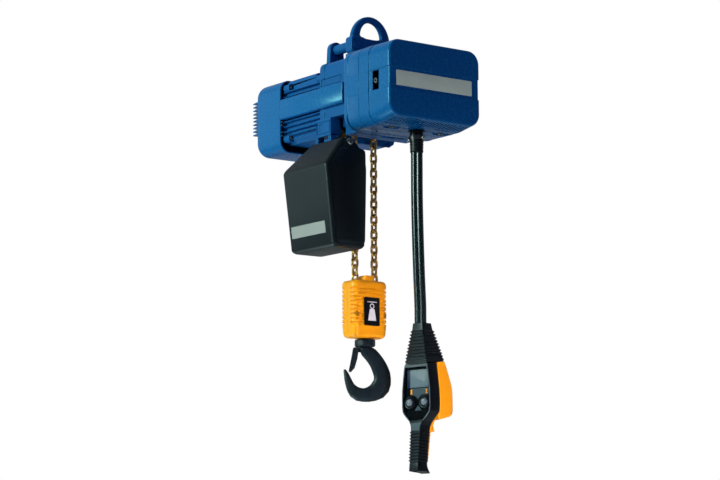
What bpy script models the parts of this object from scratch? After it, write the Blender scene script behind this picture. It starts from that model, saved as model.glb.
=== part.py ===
"""Electric chain hoist with a two-fall hook block, a chain bucket and a pendant control.

Dimensions are in millimetres in the hoist's own datum: X = 0 on the end face of the front
cover (+X points out of it), Y = 0 on the near side of the gear housing, Z = 0 at the middle
of the housing's waist band. at() turns such a point into metres in the part's frame, whose
origin is the seat of the suspension eye.
"""

import math

import bmesh
import bpy
from mathutils import Matrix, Vector

MM = 0.001
EYE = Vector((-203, 107, 162))

# Front cover and gear housing
HOUSING_WIDTH = 236
HOUSING_TOP = 80.5
HOUSING_BOTTOM = -86
HOUSING_CORNER = 29
COVER_LENGTH = 100
HOUSING_LENGTH = 154
COVER_WALL = 4
GEARBOX_WALL = 8
SCREW_X = -50

# Drive: the motor, the gears and the chain wheel share one axis along X
AXIS_Y = 97.4
AXIS_Z = -18
GEAR_CENTRES = 63
PINION_TEETH = 12
FIRST_GEAR_TEETH = 72
FIRST_MODULE = 1.5
LAST_GEAR_TEETH = 51
LAST_MODULE = 2.0
SHAFT_RADIUS = 8
PINION_SHAFT_RADIUS = 6
JOURNAL_RADIUS = 10

# Chain 5.3 x 15.2 and the five-pocket wheel that it runs on
CHAIN_WIRE = 5.3
CHAIN_PITCH = 15.2
CHAIN_WIDTH = 17.9
POCKETS = 5
PITCH_RADIUS = 24.75
FALL_X = -212
LIVE_Y = AXIS_Y + PITCH_RADIUS
DEAD_Y = AXIS_Y - PITCH_RADIUS

# Chain and motor housings
CHAIN_HOUSING_REAR = -248
MOTOR_REAR = -381
MOTOR_BORE_END = -264
MOTOR_NEAR = 12
MOTOR_FAR = 182
COWL_REAR = -476
GRILLE_REAR = -495

# Suspension bracket
PIN_Z = 110
PIN_OFFSET = 40.5
PIN_RADIUS = 10.8

# Hook block and hook
SHEAVE_Z = -412
BLOCK_TOP = -383
BLOCK_BOTTOM = -500
BLOCK_X = (-237, -187)
BLOCK_Y = (55, 140)
HOOK_TURN = math.radians(53)
HOOK_TOP = -515

# Pendant control, in a frame of its own at the lower end of its cable
CABLE_RADIUS = 12
CABLE_TOP = Vector((-71, 125, -93))
PENDANT_AT = Vector((-69, 129.2, -478))
PENDANT_TURN = math.radians(8)
KNOB_X = 18.4
KNOB_Z = -158.4

GAP = 0.3

PAINTS = {
    "blue_paint": ((0.010, 0.165, 0.400), 0.35, 0.0),
    "yellow_plastic": ((0.950, 0.390, 0.015), 0.40, 0.0),
    "black_plastic": ((0.012, 0.013, 0.014), 0.45, 0.0),
    "grey_plastic": ((0.080, 0.110, 0.135), 0.40, 0.0),
    "bucket_plastic": ((0.020, 0.022, 0.024), 0.50, 0.0),
    "hook_steel": ((0.018, 0.026, 0.034), 0.38, 0.6),
    "steel": ((0.420, 0.430, 0.440), 0.30, 1.0),
    "chain_gold": ((0.520, 0.340, 0.090), 0.28, 1.0),
    "copper": ((0.600, 0.250, 0.120), 0.40, 1.0),
    "rubber": ((0.010, 0.011, 0.012), 0.55, 0.0),
    "board_green": ((0.020, 0.150, 0.060), 0.50, 0.0),
    "zinc": ((0.550, 0.560, 0.570), 0.25, 1.0),
}


def at(point):
    """A point of the hoist's datum, in metres in the part's frame."""
    return (Vector(point) - EYE) * MM


def clear_scene():
    for obj in list(bpy.data.objects):
        bpy.data.objects.remove(obj, do_unlink=True)


def new_collection(name, hidden=False):
    collection = bpy.data.collections.new(name)
    bpy.context.scene.collection.children.link(collection)
    collection.hide_render = hidden
    return collection


def new_material(name):
    colour, roughness, metallic = PAINTS[name]
    material = bpy.data.materials.new(name)
    material.use_nodes = True
    shader = material.node_tree.nodes["Principled BSDF"]
    shader.inputs["Base Color"].default_value = (*colour, 1.0)
    shader.inputs["Roughness"].default_value = roughness
    shader.inputs["Metallic"].default_value = metallic
    return material


clear_scene()
PARTS = new_collection("chain_hoist")
CUTTERS = new_collection("cutters", hidden=True)
MATERIALS = {name: new_material(name) for name in PAINTS}


# ---------------------------------------------------------------- shapes


def box(low, high):
    shape = bmesh.new()
    bmesh.ops.create_cube(shape, size=1)
    low, high = Vector(low), Vector(high)
    size = Matrix.Diagonal((*(high - low), 1))
    shape.transform(Matrix.Translation((low + high) / 2) @ size)
    return shape


AXIS_TURNS = {
    "X": Matrix.Rotation(math.pi / 2, 4, "Y"),
    "Y": Matrix.Rotation(-math.pi / 2, 4, "X"),
    "Z": Matrix.Identity(4),
}


def rod(axis, start, length, radius, sides=16, end_radius=None):
    """A round bar from start along +axis."""
    shape = bmesh.new()
    end = radius if end_radius is None else end_radius
    bmesh.ops.create_cone(
        shape, cap_ends=True, segments=sides, radius1=radius, radius2=end, depth=length
    )
    middle = Matrix.Translation((0, 0, length / 2))
    shape.transform(Matrix.Translation(start) @ AXIS_TURNS[axis] @ middle)
    return shape


def place(axis, u, v, along):
    """A point given by its two coordinates across an axis and one along it."""
    if axis == "X":
        return Vector((along, u, v))
    if axis == "Y":
        return Vector((u, along, v))
    return Vector((u, v, along))


def loft(rings):
    """A closed skin through rings of equally many points, with flat ends."""
    shape = bmesh.new()
    rows = [[shape.verts.new(point) for point in ring] for ring in rings]
    for row, following in zip(rows, rows[1:]):
        for i in range(len(row)):
            j = (i + 1) % len(row)
            shape.faces.new((row[i], row[j], following[j], following[i]))
    shape.faces.new(rows[0])
    shape.faces.new(rows[-1])
    bmesh.ops.recalc_face_normals(shape, faces=shape.faces)
    return shape


def prism(outline, axis, low, high):
    """A flat outline of (u, v) points, extruded along an axis."""
    rings = [[place(axis, u, v, end) for u, v in outline] for end in (low, high)]
    return loft(rings)


def rounded(low_u, low_v, high_u, high_v, radius, steps=4):
    """The outline of a rectangle with round corners."""
    points = []
    corners = (
        (high_u - radius, high_v - radius, 0),
        (low_u + radius, high_v - radius, 1),
        (low_u + radius, low_v + radius, 2),
        (high_u - radius, low_v + radius, 3),
    )
    for u, v, quarter in corners:
        for k in range(steps + 1):
            angle = (quarter + k / steps) * math.pi / 2
            points.append((u + radius * math.cos(angle), v + radius * math.sin(angle)))
    return points


def inset_ring(axis, along, bounds, radius, inset, steps=4):
    """The points of a rounded rectangle, moved in from its bounds by inset."""
    low_u, low_v, high_u, high_v = bounds
    edge = (low_u + inset, low_v + inset, high_u - inset, high_v - inset)
    outline = rounded(*edge, max(radius - inset, 1), steps)
    return [place(axis, u, v, along) for u, v in outline]


def gear_outline(centre, teeth, module, phase):
    """The outline of a spur gear with straight flanks, seen along the shaft."""
    root = module * teeth / 2 - 1.15 * module
    tip = module * teeth / 2 + 0.85 * module
    root_half = 0.28 * math.pi * module / root
    tip_half = 0.12 * math.pi * module / tip
    points = []
    for k in range(teeth):
        middle = phase + 2 * math.pi * k / teeth
        flanks = ((root, -root_half), (tip, -tip_half), (tip, tip_half), (root, root_half))
        for radius, turn in flanks:
            angle = middle + turn
            y = centre[0] + radius * math.cos(angle)
            z = centre[1] + radius * math.sin(angle)
            points.append((y, z))
    return points


# ---------------------------------------------------------------- objects


def add(name, shape, material, origin=None, parent=None):
    """Makes an object of a shape given in the datum, with its own origin."""
    return put(name, shape, PARTS, material, origin, parent)


def put(name, shape, collection, material=None, origin=None, parent=None):
    origin = Vector(origin) if origin is not None else EYE.copy()
    shape.transform(Matrix.Scale(MM, 4) @ Matrix.Translation(-origin))
    mesh = bpy.data.meshes.new(name)
    shape.to_mesh(mesh)
    shape.free()
    obj = bpy.data.objects.new(name, mesh)
    collection.objects.link(obj)
    if parent:
        obj.parent = parent
        obj.location = origin * MM
    else:
        obj.location = at(origin)
    if material:
        mesh.materials.append(MATERIALS[material])
        mesh.shade_smooth()
        mesh.set_sharp_from_angle(angle=math.radians(35))
    return obj


def boolean(obj, shape, operation, parent=None):
    """Cuts a shape from an object, or joins it on."""
    tool = put(f"{obj.name}_tool_{len(obj.modifiers)}", shape, CUTTERS, parent=parent)
    tool.hide_render = True
    tool.display_type = "WIRE"
    modifier = obj.modifiers.new(operation.lower(), "BOOLEAN")
    modifier.operation = operation
    modifier.object = tool
    return tool


def cut(obj, *shapes, parent=None):
    for shape in shapes:
        boolean(obj, shape, "DIFFERENCE", parent)


def join(obj, *shapes, parent=None):
    for shape in shapes:
        boolean(obj, shape, "UNION", parent)


def turned(name, profile, axis, centre, material, steps=20, closed=False):
    """A turned piece: (radius, along) points, from its +axis end down its outer side."""
    mesh = bpy.data.meshes.new(name)
    points = [(radius * MM, 0, along * MM) for radius, along in profile]
    edges = [(i, i + 1) for i in range(len(points) - 1)]
    if closed:
        edges.append((len(points) - 1, 0))
    mesh.from_pydata(points, edges, [])
    mesh.materials.append(MATERIALS[material])
    obj = bpy.data.objects.new(name, mesh)
    PARTS.objects.link(obj)
    obj.location = at(centre)
    obj.rotation_euler = AXIS_TURNS[axis].to_euler()
    screw = obj.modifiers.new("turn", "SCREW")
    screw.steps = steps
    screw.render_steps = steps
    screw.use_merge_vertices = True
    screw.merge_threshold = 0.00001
    screw.use_smooth_shade = True
    return obj


def ring(name, axis, centre, inner, outer, half_width, material, steps=20):
    """A plain ring about an axis."""
    profile = [(outer, half_width), (outer, -half_width), (inner, -half_width), (inner, half_width)]
    return turned(name, profile, axis, centre, material, steps, closed=True)


# ---------------------------------------------------------------- housings

HOUSING = (0, HOUSING_BOTTOM, HOUSING_WIDTH, HOUSING_TOP)


def housing_ring(x, inset):
    return inset_ring("X", x, HOUSING, HOUSING_CORNER, inset)


def drive_point(x):
    return (x, AXIS_Y, AXIS_Z)


def make_front_cover():
    rings = [housing_ring(-COVER_LENGTH + GAP, 0), housing_ring(-4, 0), housing_ring(0, 4)]
    cover = add("front_cover", loft(rings), "blue_paint")
    hollow = [housing_ring(-COVER_LENGTH - 5, COVER_WALL), housing_ring(-COVER_WALL, COVER_WALL)]
    cut(cover, loft(hollow))
    cable_hole = rod("Z", (CABLE_TOP.x, CABLE_TOP.y, HOUSING_BOTTOM - 2), 10, 12.3)
    cut(cover, cable_hole)
    for side in (0, HOUSING_WIDTH):
        pocket = box((-66, side - 2.5, -20), (-35, side + 2.5, 20))
        screw_hole = rod("Y", (SCREW_X, side - 8, 0), 16, 3.2, 12)
        cut(cover, pocket, screw_hole)


def make_gear_housing():
    rings = [
        housing_ring(-HOUSING_LENGTH + GAP, 8),
        housing_ring(-HOUSING_LENGTH + 8, 0),
        housing_ring(-COVER_LENGTH, 0),
    ]
    housing = add("gear_housing", loft(rings), "blue_paint")
    rear = -HOUSING_LENGTH + GEARBOX_WALL
    hollow = [housing_ring(rear, GEARBOX_WALL + 1), housing_ring(-90, GEARBOX_WALL + 1)]
    cut(housing, loft(hollow))
    for near in (4.4, HOUSING_WIDTH - 12):
        tongue = box((-COVER_LENGTH - 4, near, -13), (-36, near + 7.6, 13))
        join(housing, tongue)
    cut(housing, rod("X", drive_point(-HOUSING_LENGTH - 2), 14, 16))
    blind = rod("X", (rear - 4, AXIS_Y + GEAR_CENTRES, AXIS_Z), 12, SHAFT_RADIUS + GAP)
    cut(housing, blind)
    screw_hole = rod("Y", (SCREW_X, -2, 0), HOUSING_WIDTH + 4, 3, 12)
    cut(housing, screw_hole)


def make_cover_screws():
    for name, head_start, shank_start in (("near", 0.2, 2), ("far", HOUSING_WIDTH - 2.2, HOUSING_WIDTH - 12)):
        shank = rod("Y", (SCREW_X, shank_start, 0), 10, 2.6, 10)
        screw = add(f"cover_screw_{name}", shank, "zinc")
        join(screw, rod("Y", (SCREW_X, head_start, 0), 2, 5.5, 6))


def make_chain_housing():
    rear, front = CHAIN_HOUSING_REAR, -HOUSING_LENGTH
    outline = [
        (12, -49), (12, 59), (22, 71), (190, 71), (205, 58), (205, -70), (189, -86), (34, -86), (34, -49),
    ]
    housing = add("chain_housing", prism(outline, "X", rear, front), "blue_paint")
    top = box((-276, 34, 51), (-240, 178, 66))
    join(housing, top)
    for side in (-1, 1):
        join(housing, suspension_lug(EYE.y + side * PIN_OFFSET))
        cradle = box((-216, EYE.y + side * PIN_OFFSET - 14, 58), (-192, EYE.y + side * PIN_OFFSET + 14, 91.5))
        join(housing, cradle)
    pit = rod("X", drive_point(-227), 30, 35, 24)
    slot = box((-227, 60, -90), (-197, 136, AXIS_Z))
    slack_way = box((-224, 28, -90), (-200, 66, -28))
    bearing_seat = rod("X", drive_point(-198), 50, 24.3, 20)
    shaft_way = rod("X", drive_point(rear - 5), 30, 12)
    anchor_way = rod("X", (-242, DEAD_Y, -56), 54, 5.3, 12)
    chain_exit = box((-243, 20, -95), (-190, 215, -68))
    cut(housing, pit, slot, slack_way, bearing_seat, shaft_way, anchor_way, chain_exit)
    for side in (-1, 1):
        cut(housing, rod("X", (-285, EYE.y + side * PIN_OFFSET, PIN_Z), 40, PIN_RADIUS + GAP))


def suspension_lug(middle):
    """The upright ear behind the bracket that holds one end of a suspension pin."""
    radius = 17.5
    arc = [math.pi * k / 8 for k in range(9)]
    outline = [(middle + radius * math.cos(a), PIN_Z + radius * math.sin(a)) for a in arc]
    outline += [(middle - radius - 3, 55), (middle + radius + 3, 55)]
    return prism(outline, "X", -275, -262)


def motor_outline():
    """The motor housing seen along its shaft, with cooling fins on both sides."""
    fin, core = MOTOR_NEAR, MOTOR_NEAR + 9
    heights = [-64 + 10.6 * k for k in range(10)]
    side = [(core + 12, -78), (core, -68)]
    for z in heights:
        side += [(core, z), (fin, z + 0.8), (fin, z + 3), (core, z + 3.8)]
    side += [(core, 44), (core + 8, 60)]
    far = [(MOTOR_NEAR + MOTOR_FAR - y, z) for y, z in reversed(side)]
    return side + far


def make_motor_housing():
    front = CHAIN_HOUSING_REAR - GAP
    housing = add("motor_housing", prism(motor_outline(), "X", MOTOR_REAR, front), "blue_paint")
    join(housing, prism([(44, -86), (184, -86), (190, -80), (190, -66), (44, -66)], "X", -296, front))
    bore = rod("X", drive_point(MOTOR_REAR - 2), MOTOR_BORE_END - MOTOR_REAR + 2, 56, 32)
    seat = rod("X", drive_point(MOTOR_BORE_END - 2), 20, 20.3, 20)
    plate_seat = box((-276.6, 5, 50.4), (front + 5, 195, 70))
    cut(housing, bore, seat, plate_seat)


def make_end_shield():
    outline = rounded(16, -76, 178, 44, 18, 3)
    shield = add("end_shield", prism(outline, "X", -390, MOTOR_REAR - GAP), "blue_paint")
    cut(shield, rod("X", drive_point(-392), 14, 20.3, 20))


def cowl_ring(x, near, far, bottom, top, radius):
    return [place("X", y, z, x) for y, z in rounded(near, bottom, far, top, radius)]


def make_fan_cowl():
    rings = [
        cowl_ring(COWL_REAR, 16, 178, -70, 48, 18),
        cowl_ring(-469, 7.5, 186.5, -85, 58, 23),
        cowl_ring(-455, 4, 190, -94, 62, 25),
        cowl_ring(MOTOR_REAR, 4, 190, -94, 62, 25),
    ]
    cowl = add("fan_cowl", loft(rings), "blue_paint")
    hollow = [
        cowl_ring(COWL_REAR + 4, 19, 175, -67, 45, 16),
        cowl_ring(-467, 10.5, 183.5, -82, 55, 21),
        cowl_ring(-454, 7, 187, -91, 59, 22),
        cowl_ring(MOTOR_REAR + 5, 7, 187, -91, 59, 22),
    ]
    cut(cowl, loft(hollow))
    comb = [(COWL_REAR + 2, 33), (COWL_REAR + 2, -46)]
    for k in range(10):
        z = -41 + k * 7.6
        comb += [(COWL_REAR - 1, z - 1.8), (GRILLE_REAR, z), (COWL_REAR - 1, z + 2.4)]
    join(cowl, prism(comb, "Y", 11, 183))


def make_side_duct():
    outline = rounded(2, -26, MOTOR_NEAR - GAP, 17, 3, 2)
    add("side_duct", prism(outline, "X", MOTOR_REAR + GAP, -158), "blue_paint")


# ---------------------------------------------------------------- suspension


def half_ellipse(y, z, across, up, steps):
    arc = [math.pi * k / steps for k in range(steps + 1)]
    return [(y + across * math.cos(a), z + up * math.sin(a)) for a in arc]


def make_suspension_bracket():
    outer = half_ellipse(EYE.y, 120, 49, 55, 16) + [(EYE.y - 53, 112), (EYE.y - 53, 92)]
    outer += [(EYE.y + 53, 92), (EYE.y + 53, 112)]
    bracket = add("suspension_bracket", prism(outer, "X", -210, -196), "blue_paint")
    opening = half_ellipse(EYE.y, 138, 28, EYE.z - 138, 14) + [(EYE.y - 20, 128), (EYE.y + 20, 128)]
    cut(bracket, prism(opening, "X", -215, -190))
    for side in (-1, 1):
        near, far = sorted((EYE.y + side * 55, EYE.y + side * 19))
        boss = rounded(near, 92.4, far, 127, 5, 2)
        join(bracket, prism(boss, "X", -213, -191))
    for side in (-1, 1):
        cut(bracket, rod("X", (-220, EYE.y + side * PIN_OFFSET, PIN_Z), 40, PIN_RADIUS + GAP))


def make_suspension_pins():
    for name, side in (("near", -1), ("far", 1)):
        pin = rod("X", (-277, EYE.y + side * PIN_OFFSET, PIN_Z), 87, PIN_RADIUS, 16)
        add(f"suspension_pin_{name}", pin, "blue_paint")


# ---------------------------------------------------------------- drive


def make_stator():
    ring("stator", "X", drive_point(-325), 32.8, 55.6, 45, "copper", 28)


def make_bearings():
    ring("motor_bearing_front", "X", drive_point(-256), JOURNAL_RADIUS + GAP, 20, 6, "steel", 16)
    ring("motor_bearing_rear", "X", drive_point(-385.7), JOURNAL_RADIUS + GAP, 20, 4, "steel", 16)
    ring("output_bearing", "X", drive_point(-183), 14.3, 24, 7, "steel", 16)


def make_brake():
    ring("brake_coil", "X", drive_point(-411.4), 13, 45, 10, "copper", 20)
    ring("brake_armature", "X", drive_point(-398.7), 13, 44, 1.9, "steel", 20)
    ring("brake_disc", "X", drive_point(-393.4), JOURNAL_RADIUS + GAP, 42, 3, "black_plastic", 20)


def make_rotor():
    pinion_start, pinion_end = -122, -110
    profile = [
        (0, pinion_end), (PINION_SHAFT_RADIUS, pinion_end), (PINION_SHAFT_RADIUS, pinion_start - 2),
        (SHAFT_RADIUS, pinion_start - 2), (SHAFT_RADIUS, CHAIN_HOUSING_REAR),
        (JOURNAL_RADIUS, CHAIN_HOUSING_REAR), (JOURNAL_RADIUS, -458), (0, -458),
    ]
    shaft = turned("rotor_shaft", profile, "X", drive_point(0), "steel", 16)
    teeth = gear_outline((AXIS_Y, AXIS_Z), PINION_TEETH, FIRST_MODULE, 0)
    join(shaft, prism(teeth, "X", pinion_start, pinion_end - 0.5))
    ring("rotor_core", "X", drive_point(-325), JOURNAL_RADIUS + GAP, 32, 40, "steel", 24)
    make_fan()


def make_fan():
    hub = rod("X", drive_point(-454), 16, 18, 16)
    fan = add("cooling_fan", hub, "black_plastic", origin=drive_point(-446))
    blades = 7
    for k in range(blades):
        blade = box((-452, -1.5, 14), (-440, 1.5, 52))
        turn = Matrix.Rotation(2 * math.pi * k / blades, 4, "X")
        blade.transform(Matrix.Translation((0, AXIS_Y, AXIS_Z)) @ turn)
        join(fan, blade)
    cut(fan, rod("X", drive_point(-460), 30, JOURNAL_RADIUS + GAP))


def make_gears():
    centre = (AXIS_Y + GEAR_CENTRES, AXIS_Z)
    rear = -HOUSING_LENGTH + GEARBOX_WALL - 3
    start = (rear, *centre)
    layshaft = add("intermediate_gear", rod("X", start, -106 - rear, SHAFT_RADIUS, 16), "steel", start)
    first = gear_outline(centre, FIRST_GEAR_TEETH, FIRST_MODULE, math.pi / FIRST_GEAR_TEETH)
    second = gear_outline(centre, PINION_TEETH, LAST_MODULE, 0)
    join(layshaft, prism(first, "X", -122, -111), prism(second, "X", -144, -128))
    middle = (AXIS_Y, AXIS_Z)
    last = gear_outline(middle, LAST_GEAR_TEETH, LAST_MODULE, math.pi / LAST_GEAR_TEETH)
    gear = add("output_gear", prism(last, "X", -143, -129), "steel", drive_point(-136))
    cut(gear, rod("X", drive_point(-150), 30, 14 + GAP))


def make_chain_wheel():
    bore, hub, groove, rim = SHAFT_RADIUS + 0.6, 14, 18, 31
    profile = [
        (hub, -127), (hub, -200), (rim, -200), (rim, -208), (groove, -208), (groove, -216),
        (rim, -216), (rim, -224), (bore, -224), (bore, -127),
    ]
    wheel = turned("chain_wheel", profile, "X", drive_point(0), "steel", 20, closed=True)
    reach = PITCH_RADIUS - CHAIN_WIRE / 2 - 1
    for k in range(POCKETS):
        pocket = box((FALL_X - 9.3, -10.4, reach), (FALL_X + 9.3, 10.4, 36))
        turn = Matrix.Rotation(2 * math.pi * (k + 0.5) / POCKETS, 4, "X")
        pocket.transform(Matrix.Translation((0, AXIS_Y, AXIS_Z)) @ turn)
        cut(wheel, pocket)


# ---------------------------------------------------------------- chain


def chain_run(start, end, first_wide=0):
    """A straight run of chain as one body: flat link blanks, each turned a quarter from the last."""
    start, end = Vector(start), Vector(end)
    along = (end - start).normalized()
    side = Vector((1, 0, 0))
    other = along.cross(side).normalized()
    count = max(int((end - start).length / CHAIN_PITCH), 1)
    pitch = (end - start).length / count
    rings = []
    for k in range(count):
        wide = (k + first_wide) % 2 == 0
        half = (CHAIN_WIDTH / 2, CHAIN_WIRE / 2) if wide else (CHAIN_WIRE / 2, CHAIN_WIDTH / 2)
        for step in (0.04, 0.96):
            middle = start + along * pitch * (k + step)
            corners = ((-1, -1), (1, -1), (1, 1), (-1, 1))
            rings.append([middle + side * half[0] * a + other * half[1] * b for a, b in corners])
    return loft(rings)


def make_falls():
    bottom = SHEAVE_Z + 6
    add("chain_fall_live", chain_run((FALL_X, LIVE_Y, -52), (FALL_X, LIVE_Y, bottom)), "chain_gold")
    add("chain_fall_dead", chain_run((FALL_X, DEAD_Y, -62), (FALL_X, DEAD_Y, bottom), 1), "chain_gold")


def make_chain_guide():
    guide = add("chain_guide", box((-226.7, 60.3, -76), (-197.3, 135.7, -61.6)), "black_plastic")
    live = box((FALL_X - 10, LIVE_Y - 10.5, -90), (FALL_X + 10, LIVE_Y + 10.5, -50))
    dead = box((FALL_X - 10, DEAD_Y - 10.5, -90), (FALL_X + 10, DEAD_Y + 10.5, -50))
    cut(guide, live, dead)
    add("chain_anchor", rod("X", (-241, DEAD_Y, -56), 52, 5, 12), "steel")


BUCKET_BOLT = (10, -108)


def make_bucket_bracket():
    plate = box((CHAIN_HOUSING_REAR + 0.4, 3, -87), (-200, 27.7, -49.3))
    bracket = add("bucket_bracket", plate, "blue_paint")
    for x in (-254, -210):
        join(bracket, box((x, 4, -117), (x + 10, 20, -85)))
    cut(bracket, rod("X", (-260, *BUCKET_BOLT), 70, 4.3, 12))
    bolt = add("bucket_bolt", rod("X", (-264, *BUCKET_BOLT), 121, 4, 12), "zinc")
    join(bolt, rod("X", (-145, *BUCKET_BOLT), 6, 7, 12))


def bucket_ring(z, left, right, near, far, radius):
    return [place("Z", x, y, z) for x, y in rounded(left, near, right, far, radius)]


def make_chain_bucket():
    rings = [
        bucket_ring(-326, -288, -148, -26, 43, 8),
        bucket_ring(-319, -294, -142, -32, 49, 9),
        bucket_ring(-163, -296, -140, -51, 51, 9),
        bucket_ring(-153, -292, -141, -47, 50, 9),
        bucket_ring(-124, -272, -143.6, -24.2, 50, 9),
        bucket_ring(-102, -257, -148, -7, 50, 9),
    ]
    bucket = add("chain_bucket", loft(rings), "bucket_plastic")
    hollow = [
        bucket_ring(-323, -285, -151, -23, 40, 6),
        bucket_ring(-317.5, -291, -145, -29, 46, 6.5),
        bucket_ring(-163, -293, -143, -48, 48, 6.5),
        bucket_ring(-153, -289, -144, -44, 47, 6.5),
        bucket_ring(-124, -269.3, -146.6, -21.4, 47, 6.5),
        bucket_ring(-100, -253, -151, -3, 47, 6.5),
    ]
    cut(bucket, loft(hollow))
    cut(bucket, rod("X", (-290, *BUCKET_BOLT), 160, 4.3, 12))
    sloped_rim = [(20, -95), (20, -101.6), (27, -107.5), (31, -114), (35, -119.5), (45, -122), (60, -124), (60, -95)]
    cut(bucket, prism(sloped_rim, "X", -310, -130))


def make_stored_chain():
    rings = [
        bucket_ring(-321, -276, -160, -15, 33, 10),
        bucket_ring(-308, -284, -152, -22, 39, 16),
        bucket_ring(-272, -284, -152, -26, 38, 20),
        bucket_ring(-250, -250, -178, -6, 26, 10),
    ]
    add("stored_chain", loft(rings), "chain_gold")
    slack = add("slack_chain", chain_run((FALL_X, 50, -38), (FALL_X, 37, -94)), "chain_gold")
    join(slack, chain_run((FALL_X, 38, -90), (FALL_X, 24, -249)))


# ---------------------------------------------------------------- hook block


def block_shell(name, split, face):
    """One half of the block's casing, from the split plane to its outer face."""
    bounds = (BLOCK_Y[0], BLOCK_BOTTOM, BLOCK_Y[1], BLOCK_TOP)
    edge = face + math.copysign(7, split - face)
    rings = [
        inset_ring("X", split, bounds, 17, 0),
        inset_ring("X", edge, bounds, 17, 0),
        inset_ring("X", face, bounds, 17, 6),
    ]
    shell = add(name, loft(rings), "yellow_plastic")
    cap_low, cap_high = sorted((split, face + math.copysign(8, split - face)))
    join(shell, box((cap_low, 84, BLOCK_TOP - 4), (cap_high, 111, -370)))
    cut(shell, rod("X", (FALL_X - 13.2, AXIS_Y, SHEAVE_Z), 26.4, 34.5, 24))
    for y in (DEAD_Y, LIVE_Y):
        cut(shell, box((FALL_X - 10, y - 10.5, SHEAVE_Z), (FALL_X + 10, y + 10.5, -360)))
    cut(shell, box((-233.5, 76, -494), (-190.5, 119, -396)))
    cut(shell, rod("Z", (FALL_X, AXIS_Y, -505), 20, 12.5))
    for y in (62, 133):
        cut(shell, rod("X", (-240, y, -450), 60, 2.8, 10), rod("X", (-190, y, -450), 6, 5, 12))
    return shell


def make_block():
    block_shell("block_shell_front", FALL_X + 0.15, BLOCK_X[1])
    block_shell("block_shell_rear", FALL_X - 0.15, BLOCK_X[0])
    yoke = add("block_yoke", box((-232, 80, -492), (-192, 115, -398)), "steel")
    cut(yoke, box((-226.5, 70, -476), (-197.5, 130, -390)))
    cut(yoke, rod("Z", (FALL_X, AXIS_Y, -500), 30, 9), rod("X", (-236, AXIS_Y, SHEAVE_Z), 50, 6.3))
    add("sheave_axle", rod("X", (-232, AXIS_Y, SHEAVE_Z), 40, 6, 16), "steel")
    for name, y in (("near", 62), ("far", 133)):
        screw = add(f"block_screw_{name}", rod("X", (-234, y, -450), 45, 2.5, 10), "zinc")
        join(screw, rod("X", (-189.7, y, -450), 2.7, 4.5, 6))
    plate = rounded(77, -473, 116, -417, 3, 2)
    add("capacity_plate", prism(plate, "X", BLOCK_X[1] + GAP, BLOCK_X[1] + 1.2), "black_plastic")
    ring("thrust_bearing", "Z", (FALL_X, AXIS_Y, -471.5), 9.2, 14, 4, "steel", 16)


def make_sheave():
    """A plain chain sheave: flat links lie on its seats, upright links run in its groove."""
    rim, rim_half, hub = 31.5, 12.5, 6.3
    seat, seat_half = PITCH_RADIUS - CHAIN_WIRE / 2 - 0.8, CHAIN_WIDTH / 2 + 0.5
    groove, groove_half = PITCH_RADIUS - CHAIN_WIDTH / 2 - 0.8, 3.4
    profile = [
        (rim, rim_half), (rim, seat_half + 1), (seat, seat_half), (seat, groove_half),
        (groove, groove_half), (groove, -groove_half), (seat, -groove_half), (seat, -seat_half),
        (rim, -seat_half - 1), (rim, -rim_half), (hub, -rim_half), (hub, rim_half),
    ]
    turned("sheave", profile, "X", (FALL_X, AXIS_Y, SHEAVE_Z), "steel", 24, closed=True)


def hook_point(across, z, out=0.0):
    """A point in the hook's own plane, turned with the hook about its shank."""
    turn = Matrix.Rotation(HOOK_TURN, 4, "Z")
    return Vector((FALL_X, AXIS_Y, 0)) + turn @ Vector((across, out, z))


# The hook from its shank to its tip: (across, z) of the middle, half width and half thickness
HOOK_STATIONS = (
    (0, -516, 10, 9.5), (0.5, -519.5, 12.5, 10), (11.5, -531, 15, 10), (23.1, -546, 15.6, 10.3),
    (31.2, -562.5, 16.8, 11), (35, -580, 17.5, 11.5), (31.5, -596.6, 19.6, 11.5), (20.5, -607.3, 18, 11.3),
    (4, -613.4, 14.6, 11), (-12, -612.5, 14.2, 10.8), (-22.3, -607, 12.6, 10.2), (-29, -598, 9.7, 9.4),
    (-33.3, -588, 8, 8.6), (-37.2, -576, 6.2, 7.2), (-41.4, -563, 3, 4.4),
)


def hook_rings(sides=10):
    rings = []
    stations = HOOK_STATIONS
    for i, (across, z, half_width, half_thick) in enumerate(stations):
        before, after = stations[max(i - 1, 0)], stations[min(i + 1, len(stations) - 1)]
        along = Vector((after[0] - before[0], after[1] - before[1])).normalized()
        normal = Vector((-along.y, along.x)) if i > 1 else Vector((1, 0))
        points = []
        for k in range(sides):
            angle = 2 * math.pi * k / sides
            shift = normal * half_width * math.cos(angle)
            points.append(hook_point(across + shift.x, z + shift.y, half_thick * math.sin(angle)))
        rings.append(points)
    return rings


def make_hook():
    origin = (FALL_X, AXIS_Y, HOOK_TOP)
    hook = add("hook", loft(hook_rings()), "hook_steel", origin)
    join(hook, rod("Z", (FALL_X, AXIS_Y, -522), 67, 8.5, 16))
    boss = prism(rounded(-21, -525, -4, -515.5, 3, 2), "Y", -4, 4)
    turn = Matrix.Translation((FALL_X, AXIS_Y, 0)) @ Matrix.Rotation(HOOK_TURN, 4, "Z")
    boss.transform(turn)
    join(hook, boss)
    hole = rod("Y", (LATCH_PIVOT[0], -10, LATCH_PIVOT[1]), 20, 2.8, 10)
    hole.transform(turn)
    cut(hook, hole)
    nut = add("hook_nut", rod("Z", (FALL_X, AXIS_Y, -467.2), 11, 13.6, 6), "steel", origin)
    cut(nut, rod("Z", (FALL_X, AXIS_Y, -470), 20, 8.8, 16))
    collar = [(20, -500.3), (20, -514), (18, -515.2), (9, -515.2), (9, -500.3)]
    turned("swivel_collar", collar, "Z", (FALL_X, AXIS_Y, 0), "hook_steel", 16, closed=True)


LATCH_PIVOT = (-15.6, -520)


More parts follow.
